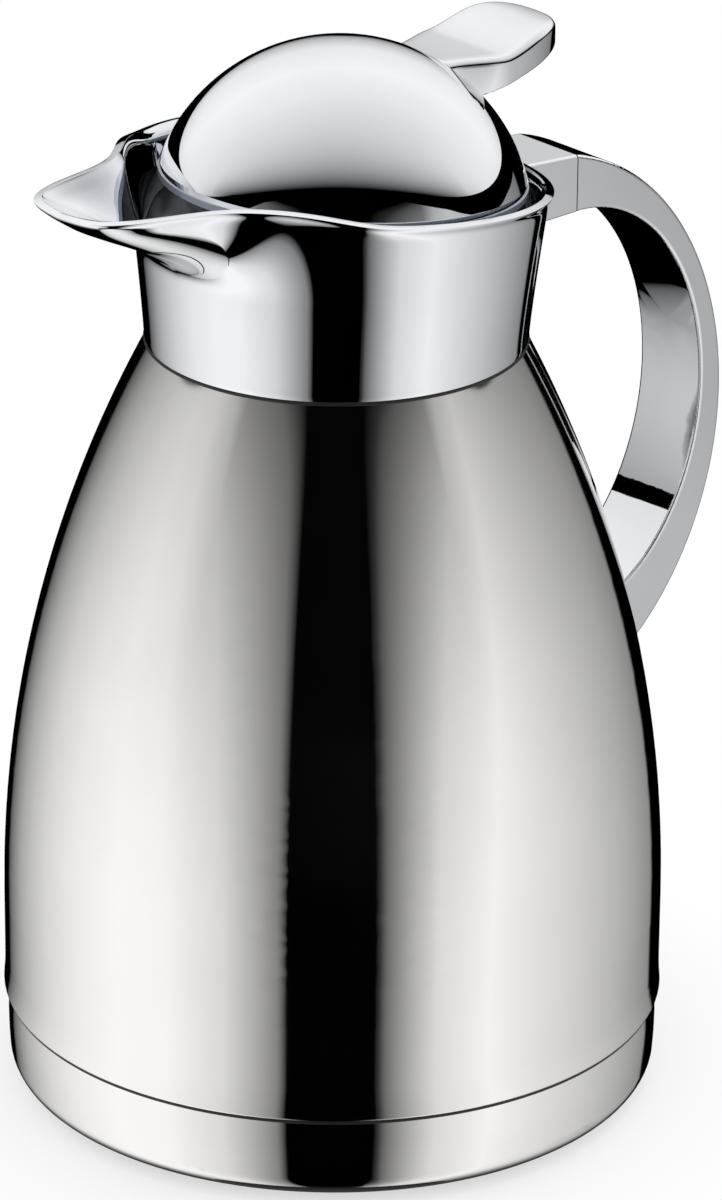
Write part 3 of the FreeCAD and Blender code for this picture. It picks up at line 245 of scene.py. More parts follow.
# Distances within which points are welded, and the steps and the least angle of the collar's edges.
COLLAR_WELD = 0.01 * MM
LEVER_WELD = 0.005 * MM
EDGE_STEPS = 4
EDGE_ANGLE = math.radians(60)
# The lever's end in plan, the places of its hollow and its crest as shares of its length, how its columns
# gather at the tip, the steps round its edges, and how far in the rings of its underside and top lie, as
# shares of half its width.
LEVER_BLUNT = 2.6
LEVER_HOLLOW_PLACE = 0.38
LEVER_CREST_PLACE = 0.84
LEVER_GATHER = 2.2
LEVER_EDGE_STEPS = 6
LEVER_UNDER_RINGS = (1.0, 0.7, 0.4)
LEVER_TOP_RINGS = (0.3, 0.5, 0.7, 0.85, 1.0)
# Beads: how far in the foot's seam lies, the seams' drops and the collar seam's inset in bead radii, and
# the radius of a pad ring as a share of the pad's thickness.
FOOT_SEAM_INSET = 0.1 * MM
FOOT_SEAM_DROP = 0.8
COLLAR_SEAM_INSET = 0.6
COLLAR_SEAM_DROP = 0.4
PAD_BEAD = 0.42
# Columns of faces along a bead and round it, and round a screw's head and its shank or bore.
HOOP_COLUMNS = 192
BEAD_SIDES = 12
HEAD_COLUMNS = 64
SHANK_COLUMNS = 48
# Places of the cloud noise between which a finish's colour and roughness drift, and the noises' detail.
CLOUD_COLOURS = (0.35, 0.65)
CLOUD_ROUGHNESS = (0.3, 0.7)
CLOUD_DETAIL = 4.0
GRAIN_DETAIL = 3.0
# The handle's screws: each piece and the CAD node that it stands for.
HANDLE_SCREWS = {"lug_cross_screw": "handle_screw", "foot_cross_screw": "handle_foot_screw"}


def linear(text):
    """Linear colour of an sRGB hex value."""
    parts = [int(text[i:i + 2], 16) / 255 for i in (0, 2, 4)]
    return [c / 12.92 if c <= 0.04045 else ((c + 0.055) / 1.055) ** 2.4 for c in parts] + [1.0]


def length(name, default, description):
    """Property for one length."""
    return FloatProperty(name=name, description=description, default=default, unit="LENGTH", precision=5)


def colour(name, default, description):
    """Property for one colour."""
    return FloatVectorProperty(
        name=name, description=description, default=linear(default), size=4, subtype="COLOR", min=0.0,
        max=1.0,
    )


class JugCollarSizes(bpy.types.PropertyGroup):
    """Sizes of the pouring collar with its spout, its lug for the handle and its hinge ears."""

    low: length("Lower edge", COLLAR_LOW[2], "Height of the collar's lower edge")
    rim: length("Rim", 191.9 * MM, "Height of the rim at the barrel's axis")
    rim_radius: length("Rim radius", COLLAR_HIGH[1], "Radius of the rolled lip")
    taper: length("Taper", 4.4 * MM, "Lower edge inside the rim")
    wall: length("Wall", 1.6 * MM, "Thickness of the wall and its lip")
    lip: length("Lip", 0.7 * MM, "Lip standing out of the wall")
    edge: length("Edge", 0.7 * MM, "Rounding of the wall's edges and of the lug")
    rim_slope: FloatProperty(name="Rim slope", description="Rise of the rim towards the spout", default=0.11)
    rim_bow: FloatProperty(name="Rim bow", description="Levelling of the rim per metre out", default=0.8)
    rim_crest: length("Rim crest", 2.3 * MM, "Rise of the rim on both sides of the spout")
    rim_crest_turn: FloatProperty(
        name="Rim crest's turn", description="Turn of the crest from the spout", default=math.radians(22),
        subtype="ANGLE",
    )
    spout: length("Spout", -COLLAR_LOW[0] - COLLAR_HIGH[1], "Spout's tip beyond the rim's circle")
    spout_spread: FloatProperty(
        name="Spout spread", description="Half angle of the spout at half its reach",
        default=math.radians(16.6), subtype="ANGLE",
    )
    spout_start: FloatProperty(
        name="Spout start", description="Share of the collar's height below the spout", default=0.5,
        subtype="FACTOR", min=0.0, max=0.9,
    )
    around: IntProperty(name="Columns", description="Columns of faces round the collar", default=360, min=48)
    levels: IntProperty(name="Rows", description="Rows of faces up the collar", default=48, min=12)
    lug_end: length("Lug's end", COLLAR_HIGH[0], "Seam between the lug and the handle, from the axis")
    lug_width: length("Lug's width", HANDLE_HIGH[1] - HANDLE_LOW[1], "Width of the lug, as the handle's")
    lug_top: length("Lug's top", HANDLE_HIGH[2], "Height of the lug's top at the handle")
    lug_depth: length("Lug's depth", 12 * MM, "Height of the lug at the handle")
    lug_rise: length("Lug's rise", 0.9 * MM, "Rise of the lug's top towards the collar")
    ear_radius: length("Ear", 2.4 * MM, "Radius of a hinge ear round the pin")
    ear_width: length("Ear's width", 2.6 * MM, "Width of a hinge ear")
    ear_place: length("Ear's place", 6.1 * MM, "Middle of a hinge ear, out from the middle of the jug")


class JugLeverSizes(bpy.types.PropertyGroup):
    """Sizes of the thumb lever at the back of the dome."""

    root: length("Root", 20 * MM, "Start of the lever inside the dome, from the barrel's axis")
    wide: length("Widest", 34 * MM, "Where the lever is widest, from the barrel's axis")
    tip: length("Tip", LEVER_TIP - 0.7 * MM, "Tip of the lever, from the barrel's axis")
    neck: length("Neck", 16.4 * MM, "Width where the lever leaves the dome")
    width: length("Width", 24.2 * MM, "Full width of the lever")
    rest: length("Thumb rest", 210.6 * MM, "Height of the hollow of the thumb rest")
    root_rise: length("Root rise", 0.2 * MM, "Rise of the top towards the dome")
    crest: length("Crest", 3.4 * MM, "Rise of the crest above the hollow")
    end_drop: length("End drop", 0.4 * MM, "Fall of the top from the crest to the tip")
    belly: length("Belly", 201.0 * MM, "Height of the underside at the root")
    belly_tip: length("Belly's tip", 209.3 * MM, "Height of the underside at the tip")
    edge: length("Edge", 1.7 * MM, "Rounding of the upper edge")
    under_edge: length("Lower edge", 0.7 * MM, "Rounding of the lower edge")


class JugDetailSizes(bpy.types.PropertyGroup):
    """Sizes of the moulded and screwed details."""

    # The seam bead's black is a dark gasket and also painted shade in the seams' gaps.
    seam: length("Seam", 0.5 * MM, "Radius of the black bead in the seams of foot and collar")
    pad_rings: IntProperty(name="Pad rings", description="Moulded rings under the foot", default=8, min=2)
    pad_first: length("First pad ring", 9 * MM, "Radius of the innermost moulded ring")
    screw_head: length("Screw head", 1.6 * MM, "Height of a screw's head")
    screw_shank: length("Screw shank", 1.5 * MM, "Radius of a screw's shank")
    recess: length("Recess", 0.8 * MM, "Width of the cross recess in a screw's head")
    recess_span: length("Recess span", 3.2 * MM, "Span of the cross recess")
    recess_depth: length("Recess depth", 0.9 * MM, "Depth of the cross recess")


class JugColours(bpy.types.PropertyGroup):
    """Colours of the finishes."""

    chrome: colour("Chrome", "F0F2F5", "Bright chrome of collar, handle and lid")
    steel: colour("Steel", "F2F1EF", "Polished steel of barrel and foot")
    vessel: colour("Vessel", "CDCDCB", "Satin steel of the vessel")
    trim: colour("Trim", "8C95A3", "Ring between the dome and its pan")
    black: colour("Black", "17181A", "Black moulded parts")
    grey: colour("Grey", "4A4C4F", "Stopper and pouring ring")
    foam: colour("Foam", "E3DCC6", "Foam in the lid")
    pad: colour("Pad", "1C1C1D", "Anti-slip disc")
    seal: colour("Seal", "C9C9C4", "Sealing rings")
    getter: colour("Getter", "7A7875", "Getter pill")
    zinc: colour("Zinc", "C3C6C8", "Screws and hinge pin")


class JugStage(bpy.types.PropertyGroup):
    """The studio."""

    floor: colour("Floor", "FAFAFA", "Floor and background")
    light: FloatProperty(
        name="Light", description="Level of the light from all round", default=0.85, min=0.0
    )
    lamp: FloatProperty(
        name="Lamp", description="Power of the soft lamp overhead", default=6.0, unit="POWER"
    )


def node(tree, kind, inputs=None, stops=None, **fields):
    """Adds a node: fields are its own settings, inputs are values, or sockets or lists of them to link."""
    made = tree.nodes.new(kind)
    for name, value in fields.items():
        setattr(made, name, value)
    for key, value in (inputs or {}).items():
        sources = value if isinstance(value, list) else [value]
        if isinstance(sources[0], bpy.types.NodeSocket):
            for source in sources:
                tree.links.new(source, made.inputs[key])
        else:
            made.inputs[key].default_value = value
    for i, (place, tint) in enumerate(stops or ()):
        elements = made.color_ramp.elements
        element = elements[i] if i < 2 else elements.new(place)
        element.position = place
        element.color = tint
    return made


def work_out(tree, rule, values):
    """Adds the steps of a rule to a tree; the value of each step goes by its name in the later ones."""
    for name, operation, a, b in rule:
        inputs = {0: values.get(a, a), 1: values.get(b, b)}
        values[name] = node(tree, "ShaderNodeMath", inputs, operation=operation).outputs[0]
    return values


def grey(level):
    """Colour of a grey level."""
    return (level, level, level, 1.0)


def shaded(tint, share):
    """Colour darkened to a share of its brightness."""
    return [part * share for part in tint[:3]] + [1.0]


def new_material(name):
    """Material with a node tree."""
    material = bpy.data.materials.new(name)
    material.use_nodes = True
    return material


def surface(name, tint, drift, roughness, patch, grain, relief, pull=(1, 1, 1), **fixed):
    """Material whose colour and roughness drift over patches, with a grain in relief.

    drift is the darkest share of the colour, roughness its two ends, patch and grain the sizes of
    their marks, relief the grain's height, and pull under 1 draws the grain out along that axis.
    """
    material = new_material(name)
    tree = material.node_tree
    shader = tree.nodes["Principled BSDF"]
    place = node(tree, "ShaderNodeTexCoord").outputs["Object"]
    cloud = node(
        tree, "ShaderNodeTexNoise", {"Vector": place, "Scale": 1 / patch, "Detail": CLOUD_DETAIL}
    ).outputs["Fac"]
    colours = node(
        tree, "ShaderNodeValToRGB", {"Fac": cloud},
        stops=((CLOUD_COLOURS[0], shaded(tint, drift)), (CLOUD_COLOURS[1], tint)),
    )
    rough = node(
        tree, "ShaderNodeMapRange",
        {
            "Value": cloud, "From Min": CLOUD_ROUGHNESS[0], "From Max": CLOUD_ROUGHNESS[1],
            "To Min": roughness[0], "To Max": roughness[1],
        },
    )
    drawn = node(tree, "ShaderNodeMapping", {"Vector": place, "Scale": pull}).outputs["Vector"]
    marks = node(
        tree, "ShaderNodeTexNoise", {"Vector": drawn, "Scale": 1 / grain, "Detail": GRAIN_DETAIL}
    ).outputs["Fac"]
    bump = node(tree, "ShaderNodeBump", {"Height": marks, "Distance": relief})
    tree.links.new(colours.outputs["Color"], shader.inputs["Base Color"])
    tree.links.new(rough.outputs["Result"], shader.inputs["Roughness"])
    tree.links.new(bump.outputs["Normal"], shader.inputs["Normal"])
    for key, value in fixed.items():
        shader.inputs[key.replace("_", " ")].default_value = value
    return material


def chrome_plate(tint):
    # bright chrome on polished metal: a cool mirror with a haze from polishing and a faint orange peel
    return surface(
        "chrome_plated_polished", tint, drift=0.97, roughness=(0.015, 0.035), patch=18 * MM,
        grain=5 * MM, relief=1.2 * MICRON, Metallic=1.0,
    )


def satin_chrome(tint):
    # chrome over a blasted surface: the same cool metal, but dull enough to gather the light round it
    return surface(
        "chrome_plated_satin", tint, drift=0.93, roughness=(0.3, 0.38), patch=10 * MM,
        grain=0.4 * MM, relief=5 * MICRON, Metallic=1.0,
    )


def polished_steel(tint):
    # stainless sheet spun and polished on a lathe: a warmer mirror whose fine marks round the barrel
    # smear what it reflects up and down but leave it sharp from side to side
    material = surface(
        "stainless_steel_lathe_polished", tint, drift=0.97, roughness=(0.045, 0.06), patch=25 * MM,
        grain=8 * MM, relief=0.6 * MICRON, Metallic=1.0, Anisotropic=0.6, Anisotropic_Rotation=0.25,
    )
    tree = material.node_tree
    place = node(tree, "ShaderNodeTexCoord").outputs["Object"]
    round_barrel = node(tree, "ShaderNodeVectorMath", {0: (0, 0, 1), 1: place}, operation="CROSS_PRODUCT")
    tree.links.new(round_barrel.outputs["Vector"], tree.nodes["Principled BSDF"].inputs["Tangent"])
    return material


def satin_steel(tint):
    # stainless sheet as drawn and brushed: soft reflections pulled out round the vessel
    return surface(
        "stainless_steel_satin_drawn", tint, drift=0.9, roughness=(0.24, 0.36), patch=20 * MM,
        grain=0.5 * MM, relief=6 * MICRON, pull=(0.05, 0.05, 1.0), Metallic=1.0,
    )


def lacquered_trim(tint):
    # ABS moulded and lacquered: smooth grey-blue with a clear gloss and a slight flow ripple
    return surface(
        "abs_moulded_lacquered", tint, drift=0.93, roughness=(0.16, 0.22), patch=12 * MM,
        grain=3 * MM, relief=2 * MICRON, IOR=1.52, Coat_Weight=0.4,
    )


def black_moulding(tint):
    # polypropylene moulded on a spark-eroded tool: near black, even satin with a fine pebble
    return surface(
        "polypropylene_black_moulded", tint, drift=0.8, roughness=(0.45, 0.58), patch=9 * MM,
        grain=0.35 * MM, relief=12 * MICRON, IOR=1.49,
    )


def grey_moulding(tint):
    # polypropylene moulded on a polished tool: dark grey, smoother, with a slight haze
    return surface(
        "polypropylene_grey_moulded", tint, drift=0.88, roughness=(0.28, 0.38), patch=10 * MM,
        grain=0.5 * MM, relief=6 * MICRON, IOR=1.49,
    )


def foamed_filling(tint):
    # polyurethane foamed in the lid: cream, dull, with open cells
    return surface(
        "polyurethane_foamed", tint, drift=0.82, roughness=(0.85, 0.95), patch=7 * MM,
        grain=0.8 * MM, relief=120 * MICRON,
    )


def moulded_rubber(tint):
    # thermoplastic rubber moulded: black and dull, worn a little shinier in patches
    return surface(
        "rubber_pad_moulded", tint, drift=0.75, roughness=(0.62, 0.8), patch=11 * MM,
        grain=0.4 * MM, relief=18 * MICRON, IOR=1.52,
    )


def silicone_seal(tint):
    # silicone pressed in a mould: milky grey that lets a little light in
    return surface(
        "silicone_moulded", tint, drift=0.93, roughness=(0.38, 0.5), patch=8 * MM,
        grain=0.6 * MM, relief=6 * MICRON, IOR=1.41, Subsurface_Weight=0.15, Subsurface_Scale=2 * MM,
    )


def sintered_getter(tint):
    # zirconium powder pressed and sintered: dull grey metal with a grain like fine sand
    return surface(
        "getter_sintered", tint, drift=0.7, roughness=(0.6, 0.75), patch=2 * MM,
        grain=0.25 * MM, relief=30 * MICRON, Metallic=0.8,
    )


def zinc_plate(tint):
    # steel, zinc plated and passivated: a dull silver, cloudy from the bath
    return surface(
        "steel_zinc_plated", tint, drift=0.85, roughness=(0.24, 0.38), patch=3 * MM,
        grain=0.3 * MM, relief=4 * MICRON, Metallic=1.0,
    )


def dress(material, *names):
    """Puts a finish on CAD nodes."""
    for name in names:
        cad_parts[name].material_slots[0].material = material


def finish_of(name):
    """Finish that a CAD node has on."""
    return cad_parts[name].material_slots[0].material


def new_piece(name, data):
    """Object in the scene, at the origin."""
    piece = bpy.data.objects.new(name, data)
    bpy.context.scene.collection.objects.link(piece)
    return piece


def mesh_piece(name, mesh, *finishes):
    """Piece with a mesh built in code and its finishes."""
    data = bpy.data.meshes.new(name)
    mesh.to_mesh(data)
    mesh.free()
    for finish in finishes:
        data.materials.append(finish)
    return new_piece(name, data)


def settle(piece):
    """Turns what the piece's modifiers make of it into its plain mesh."""
    shown = piece.evaluated_get(bpy.context.evaluated_depsgraph_get())
    mesh = bpy.data.meshes.new_from_object(shown)
    piece.modifiers.clear()
    piece.data = mesh
    return piece


def geometry_tree(name, sizes, counts=()):
    """Geometry tree with named inputs; gives the tree and the sockets of its inputs."""
    tree = bpy.data.node_groups.new(name, "GeometryNodeTree")
    for label in sizes:
        tree.interface.new_socket(label, in_out="INPUT", socket_type="NodeSocketFloat")
    for label in counts:
        tree.interface.new_socket(label, in_out="INPUT", socket_type="NodeSocketInt")
    tree.interface.new_socket("Finish", in_out="INPUT", socket_type="NodeSocketMaterial")
    tree.interface.new_socket("Geometry", in_out="OUTPUT", socket_type="NodeSocketGeometry")
    return tree, node(tree, "NodeGroupInput").outputs


def end_tree(tree, shape, finish, rounded=True):
    """Ends a geometry tree: smooth or flat shading, instances made real, and the finish."""
    smooth = node(
        tree, "GeometryNodeSetShadeSmooth", {"Geometry": shape, "Shade Smooth": rounded}
    ).outputs["Geometry"]
    real = node(tree, "GeometryNodeRealizeInstances", {"Geometry": smooth}).outputs["Geometry"]
    dressed = node(tree, "GeometryNodeSetMaterial", {"Geometry": real, "Material": finish})
    node(tree, "NodeGroupOutput", {"Geometry": dressed.outputs["Geometry"]})


def grow(name, tree, **values):
    """Piece that a geometry tree makes from the values of its inputs."""
    piece = new_piece(name, bpy.data.meshes.new(name))
    modifier = piece.modifiers.new("shape", "NODES")
    modifier.node_group = tree
    for item in tree.interface.items_tree:
        if item.in_out == "INPUT":
            modifier[item.identifier] = values[item.name]
    return piece


def collar_tree():
    """The collar's outer skin: a sheet bent round the axis, drawn out to the spout and cut to the rim."""
    sizes = (
        "low", "rim", "low_radius", "taper", "lip", "rim_slope", "rim_bow", "crest", "crest_turn", "spout",
        "spread", "start",
    )
    tree, given = geometry_tree("collar_skin", sizes, ("around", "levels"))
    sheet = node(
        tree, "GeometryNodeMeshGrid",
        {"Size X": 2 * math.pi, "Size Y": 1.0, "Vertices X": given["around"], "Vertices Y": given["levels"]},
    ).outputs["Mesh"]
    flat = node(tree, "GeometryNodeInputPosition").outputs[0]
    parts = node(tree, "ShaderNodeSeparateXYZ", {"Vector": flat}).outputs
    values = {name: given[name] for name in sizes}
    values.update(turn=parts["X"], up=parts["Y"])
    work_out(tree, COLLAR_RULE, values)
    place = node(
        tree, "ShaderNodeCombineXYZ", {"X": values["x"], "Y": values["y"], "Z": values["height"]}
    ).outputs["Vector"]
    bent = node(tree, "GeometryNodeSetPosition", {"Geometry": sheet, "Position": place}).outputs["Geometry"]
    closed = node(tree, "GeometryNodeMergeByDistance", {"Geometry": bent, "Distance": COLLAR_WELD})
    end_tree(tree, closed.outputs["Geometry"], given["Finish"])
    return tree


def rounded_box(width, low, high, edge, steps=5):
    """Outline of a rectangle about y = 0 with rounded corners, as (y, z) points."""
    half = width / 2
    corners = ((half, low, -90), (half, high, 0), (-half, high, 90), (-half, low, 180))
    points = []
    for y, z, start in corners:
        centre_y = y - math.copysign(edge, y)
        centre_z = z + edge if z == low else z - edge
        for i in range(steps + 1):
            turn = math.radians(start + 90 * i / steps)
            points.append((centre_y + edge * math.cos(turn), centre_z + edge * math.sin(turn)))
    return points


def loft(mesh, sections):
    """Closed solid through sections of equally many points."""
    rings = [[mesh.verts.new(point) for point in section] for section in sections]
    for ring, after in zip(rings, rings[1:]):
        for i, vert in enumerate(ring):
            last = i - 1
            mesh.faces.new((ring[last], vert, after[i], after[last]))
    mesh.faces.new(rings[0][::-1])
    mesh.faces.new(rings[-1])


def hoop(radius, height, count=96):
    """Points of a circle about the barrel's axis."""
    turns = [2 * math.pi * i / count for i in range(count)]
    return [(radius * math.cos(turn), radius * math.sin(turn), height) for turn in turns]


def join(piece, mesh, finish):
    """Adds a mesh to a piece that then has one finish."""
    mesh.from_mesh(piece.data)
    for face in mesh.faces:
        face.material_index = 0
    mesh.to_mesh(piece.data)
    piece.data.materials.clear()
    piece.data.materials.append(finish)


def add_lug(mesh, sizes):
    """Lug from the middle of the collar's wall to the handle."""
    low = sizes.lug_top - sizes.lug_depth
    span = sizes.rim - sizes.low
    root_low = low - sizes.lug_rise / 2
    root_high = sizes.lug_top + sizes.lug_rise
    root = []
    for y, z in rounded_box(sizes.lug_width, root_low, root_high, sizes.edge):
        level = (z - sizes.low) / span
        middle = sizes.rim_radius - sizes.taper + sizes.taper * level - sizes.wall / 2
        root.append((math.sqrt(middle ** 2 - y ** 2), y, z))
    outline = rounded_box(sizes.lug_width, low, sizes.lug_top, sizes.edge)
    loft(mesh, (root, [(sizes.lug_end, y, z) for y, z in outline]))


def add_ear(mesh, sizes, side):
    """Ear round one end of the hinge pin; behind the pin it is low, to leave room for the opened dome."""
    pin_x = (PIN_LOW[0] + PIN_HIGH[0]) / 2
    pin_z = (PIN_LOW[2] + PIN_HIGH[2]) / 2
    wall = sizes.rim_radius - sizes.wall
    outline = [
        (pin_x - sizes.ear_radius * math.sin(turn), pin_z + sizes.ear_radius * math.cos(turn))
        for turn in (math.pi * i / EAR_STEPS for i in range(-EAR_STEPS // 2, EAR_STEPS + 1))
    ]
    outline += [(wall, pin_z - sizes.ear_radius * EAR_FOOT), (wall, pin_z)]
    middle = side * sizes.ear_place
    ends = (middle - sizes.ear_width / 2, middle + sizes.ear_width / 2)
    loft(mesh, [[(x, y, z) for x, z in outline] for y in ends])


def counterbore(piece, low, high):
    """Cuts room for the head of a screw, which has this box, into a piece from below."""
    mesh = bmesh.new()
    radius = (high[0] - low[0]) / 2 + BORE_CLEARANCE
    middle = low[2] + (BORE_ABOVE - BORE_BELOW) / 2
    bmesh.ops.create_cone(
        mesh, cap_ends=True, segments=SHANK_COLUMNS, radius1=radius, radius2=radius,
        depth=BORE_ABOVE + BORE_BELOW, matrix=Matrix.Translation(((low[0] + high[0]) / 2, 0, middle)),
    )
    punch = mesh_piece("punch", mesh)
    bore = piece.modifiers.new("counterbore", "BOOLEAN")
    bore.object = punch
    settle(piece)
    bpy.data.objects.remove(punch)


def make_collar(sizes, finish):
    """Skin from the rule, thickened and rounded, with the lug and the ears."""
    skin = grow(
        "collar", collar_tree(), low=sizes.low, rim=sizes.rim, low_radius=sizes.rim_radius - sizes.taper,
        taper=sizes.taper, lip=sizes.lip, rim_slope=sizes.rim_slope, rim_bow=sizes.rim_bow,
        crest=sizes.rim_crest, crest_turn=sizes.rim_crest_turn, spout=sizes.spout,
        spread=sizes.spout_spread, start=sizes.spout_start, around=sizes.around + 1, levels=sizes.levels,
        Finish=finish,
    )
    wall = skin.modifiers.new("wall", "SOLIDIFY")
    wall.thickness = sizes.wall
    wall.offset = -1.0
    edges = skin.modifiers.new("edges", "BEVEL")
    edges.width = sizes.edge
    edges.segments = EDGE_STEPS
    edges.limit_method = "ANGLE"
    edges.angle_limit = EDGE_ANGLE
    settle(skin)

    fittings = bmesh.new()
    add_lug(fittings, sizes)
    for side in (-1, 1):
        add_ear(fittings, sizes, side)
    bmesh.ops.recalc_face_normals(fittings, faces=fittings.faces)
    lug = mesh_piece("lug", fittings, finish)
    counterbore(lug, *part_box("handle_screw"))

    whole = bmesh.new()
    whole.from_mesh(lug.data)
    join(skin, whole, finish)
    bpy.data.objects.remove(lug)
    return skin


def eased(share):
    """Share from 0 to 1 that starts and ends gently."""
    return share * share * (3 - 2 * share)


def lever_half_width(sizes, x):
    """Half the lever's width: a neck at the dome, full width in the middle, a rounded end."""
    grown = min(max((x - sizes.root) / (sizes.wide - sizes.root), 0.0), 1.0)
    half = (sizes.neck + (sizes.width - sizes.neck) * eased(grown)) / 2
    run = max((x - sizes.wide) / (sizes.tip - sizes.wide), 0.0)
    return half * (1 - min(run, 1.0) ** LEVER_BLUNT) ** (1 / LEVER_BLUNT)


def lever_top(sizes, x):
    """Height of the lever's top: a hollow for the thumb that swings up to a crest near the tip."""
    hollow = sizes.root + (sizes.tip - sizes.root) * LEVER_HOLLOW_PLACE
    crest = sizes.root + (sizes.tip - sizes.root) * LEVER_CREST_PLACE
    if x < hollow:
        return sizes.rest + sizes.root_rise * ((hollow - x) / (hollow - sizes.root)) ** 2
    climb = min((x - hollow) / (crest - hollow), 1.0)
    past = max((x - crest) / (sizes.tip - crest), 0.0)
    return sizes.rest + sizes.crest * eased(climb) - sizes.end_drop * past ** 2


def lever_belly(sizes, x):
    """Height of the lever's underside, a straight rise from the dome to the tip."""
    return sizes.belly + (sizes.belly_tip - sizes.belly) * (x - sizes.root) / (sizes.tip - sizes.root)


def lever_outline(sizes, steps=44):
    """Outline of the lever from above, one side out to the tip and back along the other."""
    side = []
    for i in range(steps + 1):
        x = sizes.root + (sizes.tip - sizes.root) * (1 - (1 - i / steps) ** LEVER_GATHER)
        side.append((x, -lever_half_width(sizes, x)))
    return side + [(x, -y) for x, y in reversed(side[:-1])]


def inset(outline, distance, sizes):
    """Points of the outline moved in towards the lever's spine by a distance, as far as it goes."""
    moved = []
    for x, y in outline:
        spine = min(x, sizes.tip - sizes.width / 2)
        way = Vector((spine - x, -y))
        moved.append(Vector((x, y)) + way * min(distance / max(way.length, distance), 1.0))
    return moved


def lever_rings(sizes, outline):
    """Rings from the middle of the underside round the edges to the middle of the top."""
    half = sizes.width / 2
    rings = []
    for share in LEVER_UNDER_RINGS:
        rings.append([(x, y, lever_belly(sizes, x)) for x, y in inset(outline, half * share, sizes)])
    edges = ((sizes.under_edge, lever_belly, -90, 1), (sizes.edge, lever_top, 0, -1))
    for edge, height, start, side in edges:
        for step in range(LEVER_EDGE_STEPS + 1):
            turn = math.radians(start + 90 * step / LEVER_EDGE_STEPS)
            ring = inset(outline, edge * (1 - math.cos(turn)), sizes)
            level = edge * (math.sin(turn) + side)
            rings.append([(x, y, height(sizes, x) + level) for x, y in ring])
    for share in LEVER_TOP_RINGS:
        rings.append([(x, y, lever_top(sizes, x)) for x, y in inset(outline, half * share, sizes)])
    return rings


def make_lever(sizes, finish):
    """Lever lofted through its rings, smooth all over."""
    mesh = bmesh.new()
    loft(mesh, lever_rings(sizes, lever_outline(sizes)))
    bmesh.ops.remove_doubles(mesh, verts=mesh.verts, dist=LEVER_WELD)
    bmesh.ops.recalc_face_normals(mesh, faces=mesh.faces)
    for face in mesh.faces:
        face.smooth = True
    return mesh_piece("thumb_rest", mesh, finish)


def ring_tree():
    """Round beads about the barrel's axis: one at the first radius and the rest a pitch apart."""
    tree, given = geometry_tree("beads", ("first", "pitch", "height", "bead"), ("count",))
    start = node(tree, "ShaderNodeCombineXYZ", {"X": given["first"], "Z": given["height"]}).outputs["Vector"]
    step = node(tree, "ShaderNodeCombineXYZ", {"X": given["pitch"]}).outputs["Vector"]
    row = node(
        tree, "GeometryNodeMeshLine", {"Count": given["count"], "Start Location": start, "Offset": step}
    ).outputs["Mesh"]
    place = node(tree, "GeometryNodeInputPosition").outputs[0]
    out = node(tree, "ShaderNodeSeparateXYZ", {"Vector": place}).outputs["X"]
    size = node(tree, "ShaderNodeCombineXYZ", {"X": out, "Y": out, "Z": 1.0}).outputs["Vector"]
    back = node(
        tree, "ShaderNodeVectorMath", {0: place, 1: (-1.0, 0.0, 0.0)}, operation="MULTIPLY"
    ).outputs["Vector"]
    circle = node(
        tree, "GeometryNodeCurvePrimitiveCircle", {"Resolution": HOOP_COLUMNS, "Radius": 1.0}
    ).outputs["Curve"]
    hoops = node(
        tree, "GeometryNodeInstanceOnPoints", {"Points": row, "Instance": circle, "Scale": size}
    ).outputs["Instances"]
    centred = node(
        tree, "GeometryNodeTranslateInstances",
        {"Instances": hoops, "Translation": back, "Local Space": False},
    ).outputs["Instances"]
    paths = node(tree, "GeometryNodeRealizeInstances", {"Geometry": centred}).outputs["Geometry"]
    section = node(
        tree, "GeometryNodeCurvePrimitiveCircle", {"Resolution": BEAD_SIDES, "Radius": given["bead"]}
    ).outputs["Curve"]
    beads = node(tree, "GeometryNodeCurveToMesh", {"Curve": paths, "Profile Curve": section})
    end_tree(tree, beads.outputs["Mesh"], given["Finish"])
    return tree


def make_pad(sizes, finish):
    """Rubber disc with moulded rings on which the jug stands."""
    thick = PAD_HIGH[2] - PAD_LOW[2]
    bead = thick * PAD_BEAD
    radius = PAD_HIGH[0]
    pitch = (radius - bead - sizes.pad_first) / (sizes.pad_rings - 1)
    pad = grow(
        "anti_slip_pad", ring_tree(), first=sizes.pad_first, pitch=pitch, height=PAD_LOW[2] + bead,
        bead=bead, count=sizes.pad_rings, Finish=finish,
    )
    settle(pad)
    disc = bmesh.new()
    levels = ((radius - bead, PAD_LOW[2] + bead), (radius, PAD_LOW[2] + 2 * bead), (radius, PAD_HIGH[2]))
    loft(disc, [hoop(*level) for level in levels])
    bmesh.ops.recalc_face_normals(disc, faces=disc.faces)
    join(pad, disc, finish)
    return pad


